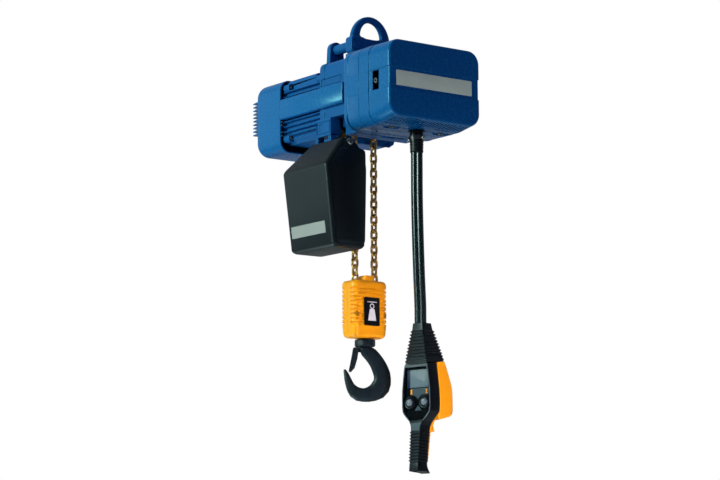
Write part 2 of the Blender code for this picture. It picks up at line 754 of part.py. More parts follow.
def make_latch():
    """A stamped channel from its pivot pin to the inside of the hook's tip."""
    turn = Matrix.Translation((FALL_X, AXIS_Y, 0)) @ Matrix.Rotation(HOOK_TURN, 4, "Z")
    x, z = LATCH_PIVOT
    outside = [
        (x - 8, z + 1.5), (x - 4, z + 4.2), (x + 1, z + 4.4), (x + 4.5, z + 1), (-21.5, -560), (-29.5, -566.5),
        (-33.5, -564),
    ]
    inside = [(x - 13, z + 8), (x + 12, z + 8), (-15.5, -556), (-29, -562.5), (-32, -558)]
    shape = prism(outside, "Y", -7.5, 7.5)
    shape.transform(turn)
    latch = add("latch", shape, "hook_steel", origin=hook_point(x, z))
    hollow = prism(inside, "Y", -5, 5)
    hollow.transform(turn)
    cut(latch, hollow)
    pin = rod("Y", (x, -8.5, z), 17, 2.4, 10)
    pin.transform(turn)
    join(latch, pin)


# ---------------------------------------------------------------- pendant control


def smooth_route(points, steps):
    """Points along a smooth curve through the given points."""
    points = [Vector(p) for p in points]
    padded = [points[0], *points, points[-1]]
    route = []
    for a, b, c, d in zip(padded, padded[1:], padded[2:], padded[3:]):
        for k in range(steps):
            t = k / steps
            route.append(
                0.5 * (2 * b + (c - a) * t + (2 * a - 5 * b + 4 * c - d) * t * t
                       + (3 * b - a - 3 * c + d) * t ** 3)
            )
    route.append(points[-1])
    return route


CABLE_ROUTE = (
    tuple(CABLE_TOP), (-71, 125, -150), (-71.2, 124.8, -220), (-70.6, 125.6, -300),
    (-69.9, 127.4, -380), (-69, 129.1, -440), (PENDANT_AT.x, PENDANT_AT.y, PENDANT_AT.z + GAP),
)


def make_pendant_cable():
    curve = bpy.data.curves.new("pendant_cable", "CURVE")
    curve.dimensions = "3D"
    spline = curve.splines.new("POLY")
    route = smooth_route(CABLE_ROUTE, 3)
    spline.points.add(len(route) - 1)
    for point, place_at in zip(spline.points, route):
        point.co = (*((place_at - CABLE_TOP) * MM), 1)
    curve.bevel_depth = CABLE_RADIUS * MM
    curve.bevel_resolution = 3
    curve.use_fill_caps = True
    curve.materials.append(MATERIALS["rubber"])
    cable = bpy.data.objects.new("pendant_cable", curve)
    PARTS.objects.link(cable)
    cable.location = at(CABLE_TOP)


def make_cable_gland():
    x, y = CABLE_TOP.x, CABLE_TOP.y
    profile = [
        (12, -76), (12, -86.3), (17, -86.3), (17, -89), (13.2, -89), (13.2, -92.5), (7, -92.5), (7, -76),
    ]
    turned("cable_gland", profile, "Z", (x, y, 0), "black_plastic", 16, closed=True)
    sleeve = [(14, -92.9), (14, -118), (13, -131), (12.3, -131), (12.3, -92.9)]
    turned("cable_sleeve", sleeve, "Z", (x, y, 0), "rubber", 16, closed=True)
    clamp = ring("hose_clamp", "Z", (x, y, -101), 14.3, 16, 5, "zinc", 20)
    join(clamp, box((x + 8, y - 21, -105), (x + 17, y - 12, -97)))


def pendant_ring(z, half_width, front, back, radius, steps=3):
    """A level ring of the pendant: its half width and its front and back along Y."""
    return [place("Z", x, y, z) for x, y in rounded(-half_width, front, half_width, back, radius, steps)]


def add_pendant(name, shape, material, frame, origin=(0, 0, 0)):
    return add(name, shape, material, origin, frame)


def make_pendant():
    frame = bpy.data.objects.new("pendant_frame", None)
    bpy.context.scene.collection.objects.link(frame)
    frame.location = at(PENDANT_AT)
    frame.rotation_euler = (0, 0, PENDANT_TURN)

    sleeve = [pendant_ring(0, 15, -10, 19.5, 8), pendant_ring(-81, 31.5, -15, 36.5, 9)]
    add_pendant("bend_sleeve", loft(sleeve), "rubber", frame)

    front = [
        pendant_ring(-81.4, 31.5, -15, 15.2, 3), pendant_ring(-110, 34.5, -15, 15.2, 3),
        pendant_ring(-145, 38, -15, 15.2, 3), pendant_ring(-176, 37.5, -15, 15.2, 3),
        pendant_ring(-199, 19, -16.5, 13, 4), pendant_ring(-206, 15, -17.5, 12, 4),
        pendant_ring(-284, 12.5, -24, 3, 4), pendant_ring(-300, 13, -25, 12, 4),
    ]
    body = add_pendant("pendant_front", loft(front), "black_plastic", frame)
    face = box((-30.7, -20, -177), (30.7, -6, -91))
    inside = box((-29, -3, -172), (29, 30, -90))
    cut(body, face, inside, parent=frame)
    for side in (-1, 1):
        cut(body, rod("Y", (side * KNOB_X, -12, KNOB_Z), 20, 6, 12), parent=frame)

    rear = [
        pendant_ring(-81.4, 31, 15.5, 37.5, 4), pendant_ring(-105, 33.5, 15.5, 48, 5),
        pendant_ring(-133, 35.5, 15.5, 56, 6), pendant_ring(-176, 35.5, 15.5, 57, 6),
        pendant_ring(-185, 33, 15.5, 47, 5),
    ]
    shell = add_pendant("pendant_rear", loft(rear), "yellow_plastic", frame)
    cut(shell, box((-27.6, 10, -172), (27.6, 34, -90)), parent=frame)
    guard = [
        (24, -178), (36, -178), (24, -199), (27.5, -215), (17.5, -213), (8.5, -276), (4.6, -276),
        (13, -206), (19, -190),
    ]
    join(shell, prism(guard, "X", -9, 9), parent=frame)

    plate = add_pendant("face_plate", box((-30.3, -8, -176), (30.3, -6.3, -92)), "grey_plastic", frame)
    for side in (-1, 1):
        join(plate, rod("Y", (side * KNOB_X, -11, KNOB_Z), 4, 11.5, 16), parent=frame)
        cut(plate, rod("Y", (side * KNOB_X, -14, KNOB_Z), 20, 9, 16), parent=frame)

    switch = box((-26, -2.5, -168), (26, 14, -94))
    add_pendant("switch_block", switch, "black_plastic", frame)
    for name, side in (("left", -1), ("right", 1)):
        pivot = (side * KNOB_X, -6, KNOB_Z)
        cap = rod("Y", (side * KNOB_X, -16, KNOB_Z), 5, 7.9, 14)
        knob = add_pendant(f"knob_{name}", cap, "grey_plastic", frame, pivot)
        join(knob, rod("Y", (side * KNOB_X, -12, KNOB_Z), 8.4, 3.5, 10), parent=frame)


def make_electrics():
    add("control_board", box((-20, 34, -58), (-18, 202, 56)), "board_green")
    add("contactor_block", box((-62, 150, -40), (-24, 206, 40)), "black_plastic")


make_front_cover()
make_gear_housing()
make_cover_screws()
make_chain_housing()
make_motor_housing()
make_end_shield()
make_fan_cowl()
make_side_duct()
make_suspension_bracket()
make_suspension_pins()
make_stator()
make_bearings()
make_brake()
make_rotor()
make_gears()
make_chain_wheel()
make_falls()
make_chain_guide()
make_bucket_bracket()
make_chain_bucket()
make_stored_chain()
make_block()
make_sheave()
make_hook()
make_latch()
make_pendant_cable()
make_cable_gland()
make_pendant()
make_electrics()
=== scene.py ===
"""The looks of an electric chain hoist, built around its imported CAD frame.

Points are written in millimetres in the hoist's own datum, as in the CAD source: X = 0 on the
end face of the front cover, Y = 0 on the near side of the gear housing, Z = 0 at the middle
of the housing's waist band. at() turns such a point into metres in the frame's row.
"""

import random
from math import copysign, cos, degrees, exp, pi, radians, sin

import bmesh
import bpy
from mathutils import Matrix, Vector


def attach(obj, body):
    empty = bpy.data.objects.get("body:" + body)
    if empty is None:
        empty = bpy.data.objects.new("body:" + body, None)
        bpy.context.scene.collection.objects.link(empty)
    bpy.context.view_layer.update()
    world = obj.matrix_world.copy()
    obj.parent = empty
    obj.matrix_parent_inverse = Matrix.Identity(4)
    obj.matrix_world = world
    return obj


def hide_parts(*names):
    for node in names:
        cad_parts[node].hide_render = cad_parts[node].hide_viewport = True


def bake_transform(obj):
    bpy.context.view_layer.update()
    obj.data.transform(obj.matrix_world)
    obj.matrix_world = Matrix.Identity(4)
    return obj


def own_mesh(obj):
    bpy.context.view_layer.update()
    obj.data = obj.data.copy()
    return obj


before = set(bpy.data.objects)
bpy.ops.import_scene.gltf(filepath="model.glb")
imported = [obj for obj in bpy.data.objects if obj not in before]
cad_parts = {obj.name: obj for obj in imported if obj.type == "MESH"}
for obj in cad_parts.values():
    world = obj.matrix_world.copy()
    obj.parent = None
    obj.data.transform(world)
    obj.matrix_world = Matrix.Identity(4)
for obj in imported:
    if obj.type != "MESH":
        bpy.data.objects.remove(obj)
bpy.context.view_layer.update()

MM = 0.001
EYE = Vector((-203, 107, 162))
TURN = 2 * pi

AXIS_Y, AXIS_Z = 97.4, -18
CHAIN_WIRE, CHAIN_PITCH, CHAIN_WIDTH = 5.3, 15.2, 17.9
PITCH_RADIUS = 24.75
FALL_X = -212
LIVE_Y, DEAD_Y = AXIS_Y + PITCH_RADIUS, AXIS_Y - PITCH_RADIUS
SHEAVE_Z = -412
HOOK_TURN = radians(53)
CABLE_TOP = Vector((-71, 125, -93))
PENDANT_AT = Vector((-69, 129.2, -478))
PENDANT_TURN = radians(8)
KNOB_X, KNOB_Z = 20, -158.4


def at(point):
    """A point of the hoist's datum, in metres in the row frame."""
    return (Vector(point) - EYE) * MM


# ---------------- camera, lights, floor

CAMERA_AT = (3470.99, -2679.15, -986.5)
CAMERA_AZIMUTH = radians(53.10)
CAMERA_PITCH = radians(8.534)
CAMERA_ROLL = radians(-0.292)
FOCAL_PIXELS, FRAME_PIXELS, SENSOR_WIDTH = 2268.3, 720, 36


def make_camera():
    azimuth, pitch, roll = CAMERA_AZIMUTH, CAMERA_PITCH, CAMERA_ROLL
    ahead = Vector((
        -sin(azimuth) * cos(pitch), cos(azimuth) * cos(pitch), sin(pitch),
    ))
    level = Vector((cos(azimuth), sin(azimuth), 0))
    upward = level.cross(ahead)
    right = cos(roll) * level + sin(roll) * upward
    up = cos(roll) * upward - sin(roll) * level
    data = bpy.data.cameras.new("camera")
    data.sensor_width = SENSOR_WIDTH
    data.lens = FOCAL_PIXELS * SENSOR_WIDTH / FRAME_PIXELS
    data.clip_start, data.clip_end = 0.05, 100
    camera = bpy.data.objects.new("camera", data)
    turn = Matrix((right, up, -ahead)).transposed().to_4x4()
    camera.matrix_world = Matrix.Translation(at(CAMERA_AT)) @ turn
    bpy.context.scene.collection.objects.link(camera)
    bpy.context.scene.camera = camera


SUBJECT = Vector((-0.02, -0.02, -0.45))


def add_light(name, direction, distance, size, power, colour=(1, 1, 1), size_y=None,
              subject=SUBJECT, spread=180, glossy=True):
    """A softbox that faces the hoist from a direction, in metres and watts."""
    data = bpy.data.lights.new(name, "AREA")
    data.spread = radians(spread)
    data.shape = "RECTANGLE"
    data.size, data.size_y = size, size_y or size
    data.energy, data.color = power, colour
    light = bpy.data.objects.new(name, data)
    direction = Vector(direction).normalized()
    light.location = subject + direction * distance
    light.visible_glossy = glossy
    light.rotation_mode = "QUATERNION"
    light.rotation_quaternion = direction.to_track_quat("Z", "Y")
    bpy.context.scene.collection.objects.link(light)


def make_lights():
    add_light("key", (-0.22, -1.0, 0.30), 3.0, 1.0, 78, (0.92, 1.10, 0.90))
    add_light("sheen", (-0.80, -0.60, 0.15), 3.2, 2.2, 6.5, (0.80, 1.0, 1.05), 2.0)
    add_light("top_light", (-0.3, -0.1, 1.0), 2.6, 1.4, 26, glossy=False)
    add_light("fill", (1.0, -0.10, 0.15), 3.4, 1.6, 14.5, (1.0, 0.84, 1.30), glossy=False)
    low = Vector((0.02, 0, -0.76))
    add_light("low_fill", (1.0, -0.25, -0.30), 1.7, 0.5, 1.1, (1.06, 0.88, 0.90), subject=low, spread=28,
              glossy=False)
    add_light("under_light", (-0.45, -0.35, -1.0), 2.1, 1.5, 26, (0.76, 0.98, 1.05))


def feed(tree, node, inputs):
    """Sets a node's inputs: each is a constant, or the output of another node."""
    for name, value in inputs.items():
        if isinstance(value, bpy.types.NodeSocket):
            tree.links.new(value, node.inputs[name])
        else:
            node.inputs[name].default_value = value


def add_node(tree, kind, inputs=(), **settings):
    node = tree.nodes.new("ShaderNode" + kind)
    for name, value in settings.items():
        setattr(node, name, value)
    feed(tree, node, dict(inputs))
    return node


def make_world():
    """A white backdrop for the camera, and a soft light from the left for everything else."""
    world = bpy.data.worlds.new("studio")
    bpy.context.scene.world = world
    world.use_nodes = True
    tree = world.node_tree
    tree.nodes.clear()
    towards = add_node(tree, "TexCoord").outputs["Generated"]
    dot = add_node(tree, "VectorMath", {0: towards, 1: (-0.79, 0.59, 0.15)}, operation="DOT_PRODUCT")
    strength = add_node(tree, "MapRange", {
        "Value": dot.outputs["Value"], "From Min": -0.25, "From Max": 0.95, "To Min": 0.02, "To Max": 0.34,
    }, interpolation_type="SMOOTHSTEP")
    light = add_node(tree, "Background", {"Color": (0.93, 0.97, 1.0, 1), "Strength": strength.outputs["Result"]})
    backdrop = add_node(tree, "Background", {"Color": (1, 1, 1, 1)})
    seen = add_node(tree, "LightPath").outputs["Is Camera Ray"]
    mix = add_node(tree, "MixShader", {"Fac": seen, 1: light.outputs[0], 2: backdrop.outputs[0]})
    add_node(tree, "OutputWorld", {"Surface": mix.outputs[0]})


FLOOR_Z, FLOOR_HALF = -2.3, 9


def make_floor(name, glow, seen):
    """One of two floors in one place: the camera sees the pale one, and the plain one lights the hoist."""
    shape = bmesh.new()
    bmesh.ops.create_grid(shape, x_segments=1, y_segments=1, size=FLOOR_HALF)
    mesh = bpy.data.meshes.new(name)
    shape.to_mesh(mesh)
    shape.free()
    floor = bpy.data.objects.new(name, mesh)
    floor.location = (0, 0, FLOOR_Z)
    bpy.context.scene.collection.objects.link(floor)
    material = bpy.data.materials.new(name)
    material.use_nodes = True
    tree = material.node_tree
    feed(tree, tree.nodes["Principled BSDF"], {
        "Base Color": (0.86, 0.87, 0.88, 1), "Roughness": 0.8,
        "Emission Color": (0.96, 0.98, 1.0, 1), "Emission Strength": glow,
    })
    mesh.materials.append(material)
    floor.visible_camera = seen
    floor.visible_diffuse = floor.visible_glossy = floor.visible_shadow = not seen


# ---------------- materials


def finish_of(name, colour, rough, metallic, vary, mottle, grain, bump, spec, shine=(1, 1, 1),
              rough_vary=0.06, streak=None, tint=None):
    """A procedural finish: a mottled colour, an uneven gloss and a fine surface grain."""
    material = bpy.data.materials.new(name)
    material.use_nodes = True
    tree = material.node_tree
    where = add_node(tree, "TexCoord").outputs["Object"]
    if streak:
        where = add_node(tree, "Mapping", {"Scale": streak, "Vector": where}).outputs["Vector"]

    def noise(scale, detail):
        return add_node(tree, "TexNoise", {"Scale": scale, "Detail": detail, "Vector": where}).outputs["Fac"]

    other = tint or [c * (1 + 2 * vary) for c in colour]
    blend = add_node(tree, "Mix", {
        "A": (*(c * (1 - vary) for c in colour), 1), "B": (*other, 1), "Factor": noise(mottle, 4),
    }, data_type="RGBA")
    gloss = add_node(tree, "MapRange", {
        "From Min": 0.3, "From Max": 0.7, "To Min": rough - rough_vary, "To Max": rough + rough_vary,
        "Value": noise(mottle * 7, 3),
    })
    relief = add_node(tree, "Bump", {"Strength": bump, "Distance": 0.0004, "Height": noise(grain, 2)})
    feed(tree, tree.nodes["Principled BSDF"], {
        "Metallic": metallic, "Specular IOR Level": spec, "Specular Tint": (*shine, 1),
        "Base Color": blend.outputs["Result"], "Roughness": gloss.outputs["Result"],
        "Normal": relief.outputs["Normal"],
    })
    return material


# The colours of the reflections
COOL, BLUE, PLAIN = (0.72, 0.96, 1.10), (0.3, 1.0, 1.15), (1, 1, 1)

# In the order of finish_of: the material's name, its colour, roughness and metalness, how far the
# colour varies, the fineness of the mottling and of the grain, the grain's height, the reflection
FINISH_ROWS = {
    "blue": ("satin_blue_paint", (0.003, 0.100, 0.320), 0.27, 0, 0.05, 22, 900, 0.07, 0.30, BLUE),
    "blue_casting": ("blue_casting_paint", (0.005, 0.088, 0.300), 0.36, 0, 0.08, 22, 500, 0.2, 0.16, BLUE),
    "yellow": ("yellow_moulding", (0.830, 0.335, 0.007), 0.32, 0, 0.04, 22, 800, 0.10, 0.28),
    "bucket": ("bucket_moulding", (0.004, 0.007, 0.009), 0.36, 0, 0.2, 22, 1100, 0.22, 0.36, COOL),
    "black": ("black_moulding", (0.002, 0.003, 0.005), 0.34, 0, 0.2, 22, 1200, 0.20, 0.30, COOL),
    "face": ("black_face", (0.001, 0.002, 0.003), 0.30, 0, 0.2, 22, 1200, 0.05, 0.06, COOL),
    "rubber": ("black_rubber", (0.003, 0.005, 0.007), 0.36, 0, 0.25, 22, 1500, 0.15, 0.36, COOL),
    "cable": ("cable_sheath", (0.006, 0.011, 0.014), 0.26, 0, 0.1, 22, 300, 0.015, 0.5, COOL, 0.02),
    # Also the colour of the sheet of painted sheen on the pendant handle's front
    "slate": ("slate_moulding", (0.022, 0.040, 0.056), 0.38, 0, 0.08, 22, 1200, 0.16, 0.45, COOL),
    # Lighter than the moulding around it: the rim's own blue-grey, with a painted highlight of its edges
    "rim": ("slate_rim", (0.050, 0.076, 0.098), 0.36, 0, 0.08, 22, 1200, 0.10, 0.5),
    "display": ("display_window", (0.085, 0.135, 0.175), 0.45, 0, 0.06, 22, 900, 0.02, 0.3),
    "display_dark": ("display_strip", (0.006, 0.018, 0.045), 0.45, 0, 0.12, 22, 900, 0.02, 0.1),
    "stripe": ("grey_print", (0.250, 0.280, 0.290), 0.42, 0, 0.05, 22, 650, 0.10, 0.5),
    "arrow": ("orange_print", (0.980, 0.360, 0.010), 0.40, 0, 0.04, 22, 900, 0.04, 0.2),
    "pale": ("pale_print", (0.700, 0.900, 0.700), 0.42, 0, 0.05, 22, 650, 0.10, 0.5),
    "white": ("white_print", (0.700, 0.740, 0.760), 0.42, 0, 0.05, 22, 900, 0.05, 0.5),
    "hook": ("blackened_forging", (0.005, 0.009, 0.013), 0.40, 0, 0.3, 60, 500, 0.35, 0.4, COOL, 0.08),
    "latch": ("blackened_pressing", (0.007, 0.012, 0.017), 0.36, 0.1, 0.25, 70, 900, 0.2, 0.5),
    "chain": ("yellow_chromate", (0.600, 0.335, 0.070), 0.27, 0.72, 0.15, 260, 1500, 0.2, 0.5, PLAIN, 0.09,
              None, (0.78, 0.56, 0.22)),
    "steel": ("machined_steel", (0.420, 0.430, 0.440), 0.30, 1, 0.12, 40, 900, 0.15, 0.5, PLAIN, 0.06, (1, 6, 6)),
    "zinc": ("bright_zinc", (0.560, 0.575, 0.590), 0.24, 1, 0.12, 120, 900, 0.12, 0.5),
    "copper": ("lacquered_winding", (0.420, 0.130, 0.045), 0.35, 0.7, 0.2, 300, 1200, 0.5, 0.5, PLAIN, 0.06,
               (0.15, 1, 1)),
    "board": ("circuit_board", (0.010, 0.110, 0.045), 0.45, 0, 0.3, 160, 600, 0.3, 0.5),
    "friction": ("friction_lining", (0.060, 0.050, 0.042), 0.8, 0, 0.4, 300, 900, 0.5, 0.5),
    "screw": ("dark_screw", (0.120, 0.140, 0.165), 0.34, 0.9, 0.15, 120, 900, 0.1, 0.5),
    "key": ("slate_key", (0.090, 0.130, 0.165), 0.28, 0, 0.08, 22, 900, 0.05, 0.5),
    "clamp": ("dark_clamp", (0.050, 0.058, 0.066), 0.34, 0.6, 0.2, 120, 900, 0.1, 0.5),
    "block_screw": ("yellow_zinc_screw", (0.440, 0.230, 0.040), 0.32, 0.7, 0.15, 120, 900, 0.1, 0.5),
}
FINISHES = {key: finish_of(*row) for key, row in FINISH_ROWS.items()}

# The record's slot, and so the finish, of each CAD node that stays visible or inside
KEPT_NODES = {
    "steel": (
        "rotor_shaft", "rotor_core", "motor_bearing_front", "motor_bearing_rear", "output_bearing",
        "brake_armature", "intermediate_gear", "chain_wheel", "output_gear", "block_yoke",
        "sheave_axle", "thrust_bearing", "sheave", "hook_nut", "chain_anchor",
    ),
    "blue_casting": ("end_shield",),
    "copper": ("stator", "brake_coil"),
    "board": ("control_board",),
    "black": ("contactor_block", "cooling_fan", "switch_block"),
    "friction": ("brake_disc",),
}


# ---------------- shapes


def place(axis, u, v, along):
    """A point from its two places across an axis and its place along it."""
    if axis == "X":
        return Vector((along, u, v))
    if axis == "Y":
        return Vector((u, along, v))
    return Vector((u, v, along))


def loft(rings, closed=False, last=None):
    """A skin through rings of equally many points: closed round on itself, or with a face at each
    end. The last end may give faces of its own."""
    shape = bmesh.new()
    rows = [[shape.verts.new(point) for point in ring] for ring in rings]
    for row, following in zip(rows, rows[1:] + rows[:1] * closed):
        for i in range(len(row)):
            j = (i + 1) % len(row)
            shape.faces.new((row[i], row[j], following[j], following[i]))
    if not closed:
        shape.faces.new(rows[0])
        for face in last or [range(len(rows[-1]))]:
            shape.faces.new([rows[-1][i] for i in face])
    bmesh.ops.recalc_face_normals(shape, faces=shape.faces)
    return shape


def prism(outline, axis, low, high):
    return loft([[place(axis, u, v, end) for u, v in outline] for end in (low, high)])


def box(low, high):
    (x0, y0, z0), (x1, y1, z1) = low, high
    return prism([(y0, z0), (y1, z0), (y1, z1), (y0, z1)], "X", x0, x1)


def rounded(low_u, low_v, high_u, high_v, radius, steps=6):
    """The outline of a rectangle with round corners."""
    points = []
    corners = (
        (high_u - radius, high_v - radius), (low_u + radius, high_v - radius),
        (low_u + radius, low_v + radius), (high_u - radius, low_v + radius),
    )
    for quarter, (u, v) in enumerate(corners):
        for k in range(steps + 1):
            angle = (quarter + k / steps) * pi / 2
            points.append((u + radius * cos(angle), v + radius * sin(angle)))
    return points


def slab(low_u, low_v, high_u, high_v, radius, axis, low, high, edge=0.0, steps=6):
    """A flat piece with round corners and softened edges."""
    if not edge:
        return prism(rounded(low_u, low_v, high_u, high_v, radius, steps), axis, low, high)
    rings = []
    for along, inset in ((low, edge), (low + edge * 0.3, edge * 0.3), (low + edge, 0),
                         (high - edge, 0), (high - edge * 0.3, edge * 0.3), (high, edge)):
        bounds = (low_u + inset, low_v + inset, high_u - inset, high_v - inset)
        outline = rounded(*bounds, max(radius - inset, 0.3), steps)
        rings.append([place(axis, u, v, along) for u, v in outline])
    return loft(rings)


def circle(axis, centre, radius, sides=32, start=0.0):
    """A ring of points about a centre, across an axis."""
    angles = [start + TURN * k / sides for k in range(sides)]
    return [Vector(centre) + place(axis, radius * cos(angle), radius * sin(angle), 0) for angle in angles]


def quarter(steps):
    """The angles of a quarter of a turn, from 0."""
    return [pi / 2 * k / steps for k in range(steps + 1)]


def along(axis, distance):
    return place(axis, 0, 0, distance)


def rod(axis, start, length, radius, sides=28, edge=0.0):
    """A round bar from start along +axis, with softened ends."""
    start = Vector(start)
    if not edge:
        ends = ((0, radius), (length, radius))
    else:
        ends = ((0, radius - edge), (edge, radius), (length - edge, radius), (length, radius - edge))
    return loft([circle(axis, start + along(axis, d), r, sides) for d, r in ends])


def lathe(axis, centre, profile, sides=40):
    """A ring or tube: a closed profile of (radius, along) points, turned about an axis."""
    rings = [circle(axis, Vector(centre) + along(axis, distance), radius, sides) for radius, distance in profile]
    return loft(rings, closed=True)


def sweep(path, sections, across, closed=False):
    """A skin of sections along a flat path. across is the normal of the path's plane, and a
    section is a list of (in the plane, across it) points."""
    across = Vector(across).normalized()
    rings = []
    for i, point in enumerate(path):
        before = path[i - 1] if i or closed else path[0]
        after = path[(i + 1) % len(path)] if i + 1 < len(path) or closed else path[-1]
        heading = (Vector(after) - Vector(before)).normalized()
        side = across.cross(heading)
        section = sections[i] if isinstance(sections[0][0], (tuple, list)) else sections
        rings.append([Vector(point) + side * u + across * v for u, v in section])
    return loft(rings, closed)


def oval(half_u, half_v, sides=16, power=1.0):
    """A round or squarish section: power under 1 makes it squarer."""
    points = []
    for k in range(sides):
        c, s = cos(TURN * k / sides), sin(TURN * k / sides)
        u = copysign(abs(c) ** power, c) * half_u
        v = copysign(abs(s) ** power, s) * half_v
        points.append((u, v))
    return points


def moved(shape, matrix):
    shape.transform(matrix)
    return shape


def gathered(shapes):
    """Several shapes as one, as they are."""
    whole = bmesh.new()
    for shape in shapes:
        mesh = bpy.data.meshes.new("part")
        shape.to_mesh(mesh)
        shape.free()
        whole.from_mesh(mesh)
        bpy.data.meshes.remove(mesh)
    return whole


def as_object(name, shape):
    mesh = bpy.data.meshes.new(name)
    shape.to_mesh(mesh)
    shape.free()
    obj = bpy.data.objects.new(name, mesh)
    bpy.context.scene.collection.objects.link(obj)
    return obj


def carve(shape, joins=(), cuts=()):
    """The shape with others joined on and then cut away."""
    body = as_object("body", shape)
    tools = []
    for operation, others in (("UNION", joins), ("DIFFERENCE", cuts)):
        for other in others:
            tool = as_object("tool", other)
            tools.append(tool)
            modifier = body.modifiers.new(operation, "BOOLEAN")
            modifier.operation = operation
            modifier.object = tool
            modifier.solver = "EXACT"
    bpy.context.view_layer.update()
    evaluated = body.evaluated_get(bpy.context.evaluated_depsgraph_get())
    result = bmesh.new()
    result.from_mesh(evaluated.to_mesh())
    evaluated.to_mesh_clear()
    for obj in (body, *tools):
        mesh = obj.data
        bpy.data.objects.remove(obj)
        bpy.data.meshes.remove(mesh)
    return result


def piece(name, shape, finish, body, replaces=(), slot=None, edge=0.0, angle=40, smooth=32,
          segments=2, ride=True):
    """A piece of the object, from a shape in the datum, riding on a CAD body."""
    shape.transform(Matrix.Scale(MM, 4) @ Matrix.Translation(-EYE))
    obj = as_object(name, shape)
    obj.data.materials.append(FINISHES[finish])
    obj.data.shade_smooth()
    obj.data.set_sharp_from_angle(angle=radians(smooth))
    if edge:
        bevel = obj.modifiers.new("edge", "BEVEL")
        bevel.width = edge * MM
        bevel.segments = segments
        bevel.limit_method = "ANGLE"
        bevel.angle_limit = radians(angle)
        bevel.use_clamp_overlap = False
        bevel.harden_normals = True
    if ride:
        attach(obj, body)
    if replaces:
        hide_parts(*replaces)
    return obj


def fine(name, shape, voxel, finish, body, replaces, slot, rounds):
    """A piece with the soft edges of a casting or forging: remeshed finely, then smoothed."""
    obj = piece(name, shape, finish, body, replaces, slot)
    remesh = obj.modifiers.new("fine", "REMESH")
    remesh.mode = "VOXEL"
    remesh.voxel_size = voxel * MM
    remesh.use_smooth_shade = True
    soften = obj.modifiers.new("soften", "SMOOTH")
    soften.factor = 0.5
    soften.iterations = rounds


# ---------------- cords


def smooth_route(points, steps):
    """Points along a smooth curve through the given points."""
    points = [Vector(p) for p in points]
    padded = [points[0], *points, points[-1]]
    route = []
    for a, b, c, d in zip(padded, padded[1:], padded[2:], padded[3:]):
        for k in range(steps):
            t = k / steps
            route.append(
                0.5 * (2 * b + (c - a) * t + (2 * a - 5 * b + 4 * c - d) * t * t
                       + (3 * b - a - 3 * c + d) * t ** 3)
            )
    route.append(points[-1])
    return route


CABLE_ROUTE = (
    tuple(CABLE_TOP), (-71, 125, -150), (-71.2, 124.8, -220), (-70.6, 125.6, -300),
    (-69.9, 127.4, -380), (-69, 129.1, -440), (PENDANT_AT.x, PENDANT_AT.y, PENDANT_AT.z + 0.3),
)
CABLE_DIAMETER = 0.024


def cable_ring(centre, radius, sides=48):
    """A section of the cable: its two strands meet in a groove in front and behind."""
    points = []
    for k in range(sides):
        angle = TURN * k / sides
        off = (degrees(angle) + 40) % 180
        off = min(off, 180 - off)
        reach = radius * (1 - 0.30 * exp(-(off / 17) ** 2))
        points.append(centre + Vector((reach * cos(angle), reach * sin(angle), 0)))
    return points


def make_cable():
    route = smooth_route(CABLE_ROUTE, 5)
    radius = CABLE_DIAMETER / MM / 2
    shape = loft([cable_ring(point, radius) for point in route])
    cable = piece("cable", shape, "cable", "pendant", ["pendant_cable"], "rubber", ride=False)
    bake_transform(cable)


# ---------------- front cover and gear housing

HOUSING_WIDTH, HOUSING_TOP, HOUSING_BOTTOM, HOUSING_CORNER = 236, 80.5, -86, 29
BAND = 21
CORNER_STEPS = 9
CUP_Y = (62, 188)


def section(x, inset, band=0.0, band_x=0.0):
    """A ring of the housing. The waist band's points lie band mm deeper, and band_x further back.
    The underside rises towards the end face."""
    lift = 6.4 * max(0.0, min(1.0, (x + 43) / 37.5))
    u0, v0, u1, v1 = inset, HOUSING_BOTTOM + inset + lift, HOUSING_WIDTH - inset, HOUSING_TOP - inset
    outline = rounded(u0, v0, u1, v1, HOUSING_CORNER - inset, CORNER_STEPS)
    count = 2 * (CORNER_STEPS + 1)
    edge = ((BAND + 0.4, 0), (BAND - 0.4, 1), (-BAND + 0.4, 1), (-BAND - 0.4, 0))
    near = [(u0 + band * deep, z, deep) for z, deep in edge]
    far = [(u1 - band * deep, z, deep) for z, deep in reversed(edge)]
    points = [(u, v, 0) for u, v in outline[:count]] + near
    points += [(u, v, 0) for u, v in outline[count:]] + far
    return [Vector((x - band_x * deep, y, z)) for y, z, deep in points]


def end_faces():
    n = 2 * (CORNER_STEPS + 1)
    a, b = n, 2 * n + 4
    return [
        [b + 3, *range(n), a], [b + 2, b + 3, a, a + 1], [b + 1, b + 2, a + 1, a + 2],
        [b, b + 1, a + 2, a + 3], [b, a + 3, *range(n + 4, 2 * n + 4)],
    ]


# Along X: the inset of the housing's side, and how much deeper the waist band lies
GEARBOX_STATIONS = (
    (-137.6, 0, 0), (-136.9, 0.9, -0.9), (-135.6, 0.9, -0.9), (-134.9, 0.6, -0.6), (-100.8, 0.6, -0.6),
    (-100.15, 1.2, -1.2),
)
COVER_STATIONS = (
    (-99.85, 1.2, -1.2), (-99.2, 0.6, -0.6), (-67.8, 0.6, -0.6), (-67.0, 2.0, 0), (-65.2, 2.0, 0),
    (-64.4, 1.0, 1.9), (-50, 1.0, 1.9), (-47.5, 1.15, 1.9), (-45, 1.45, 1.9), (-42.5, 1.7, 1.9), (-5.5, 1.7, 1.9),
)


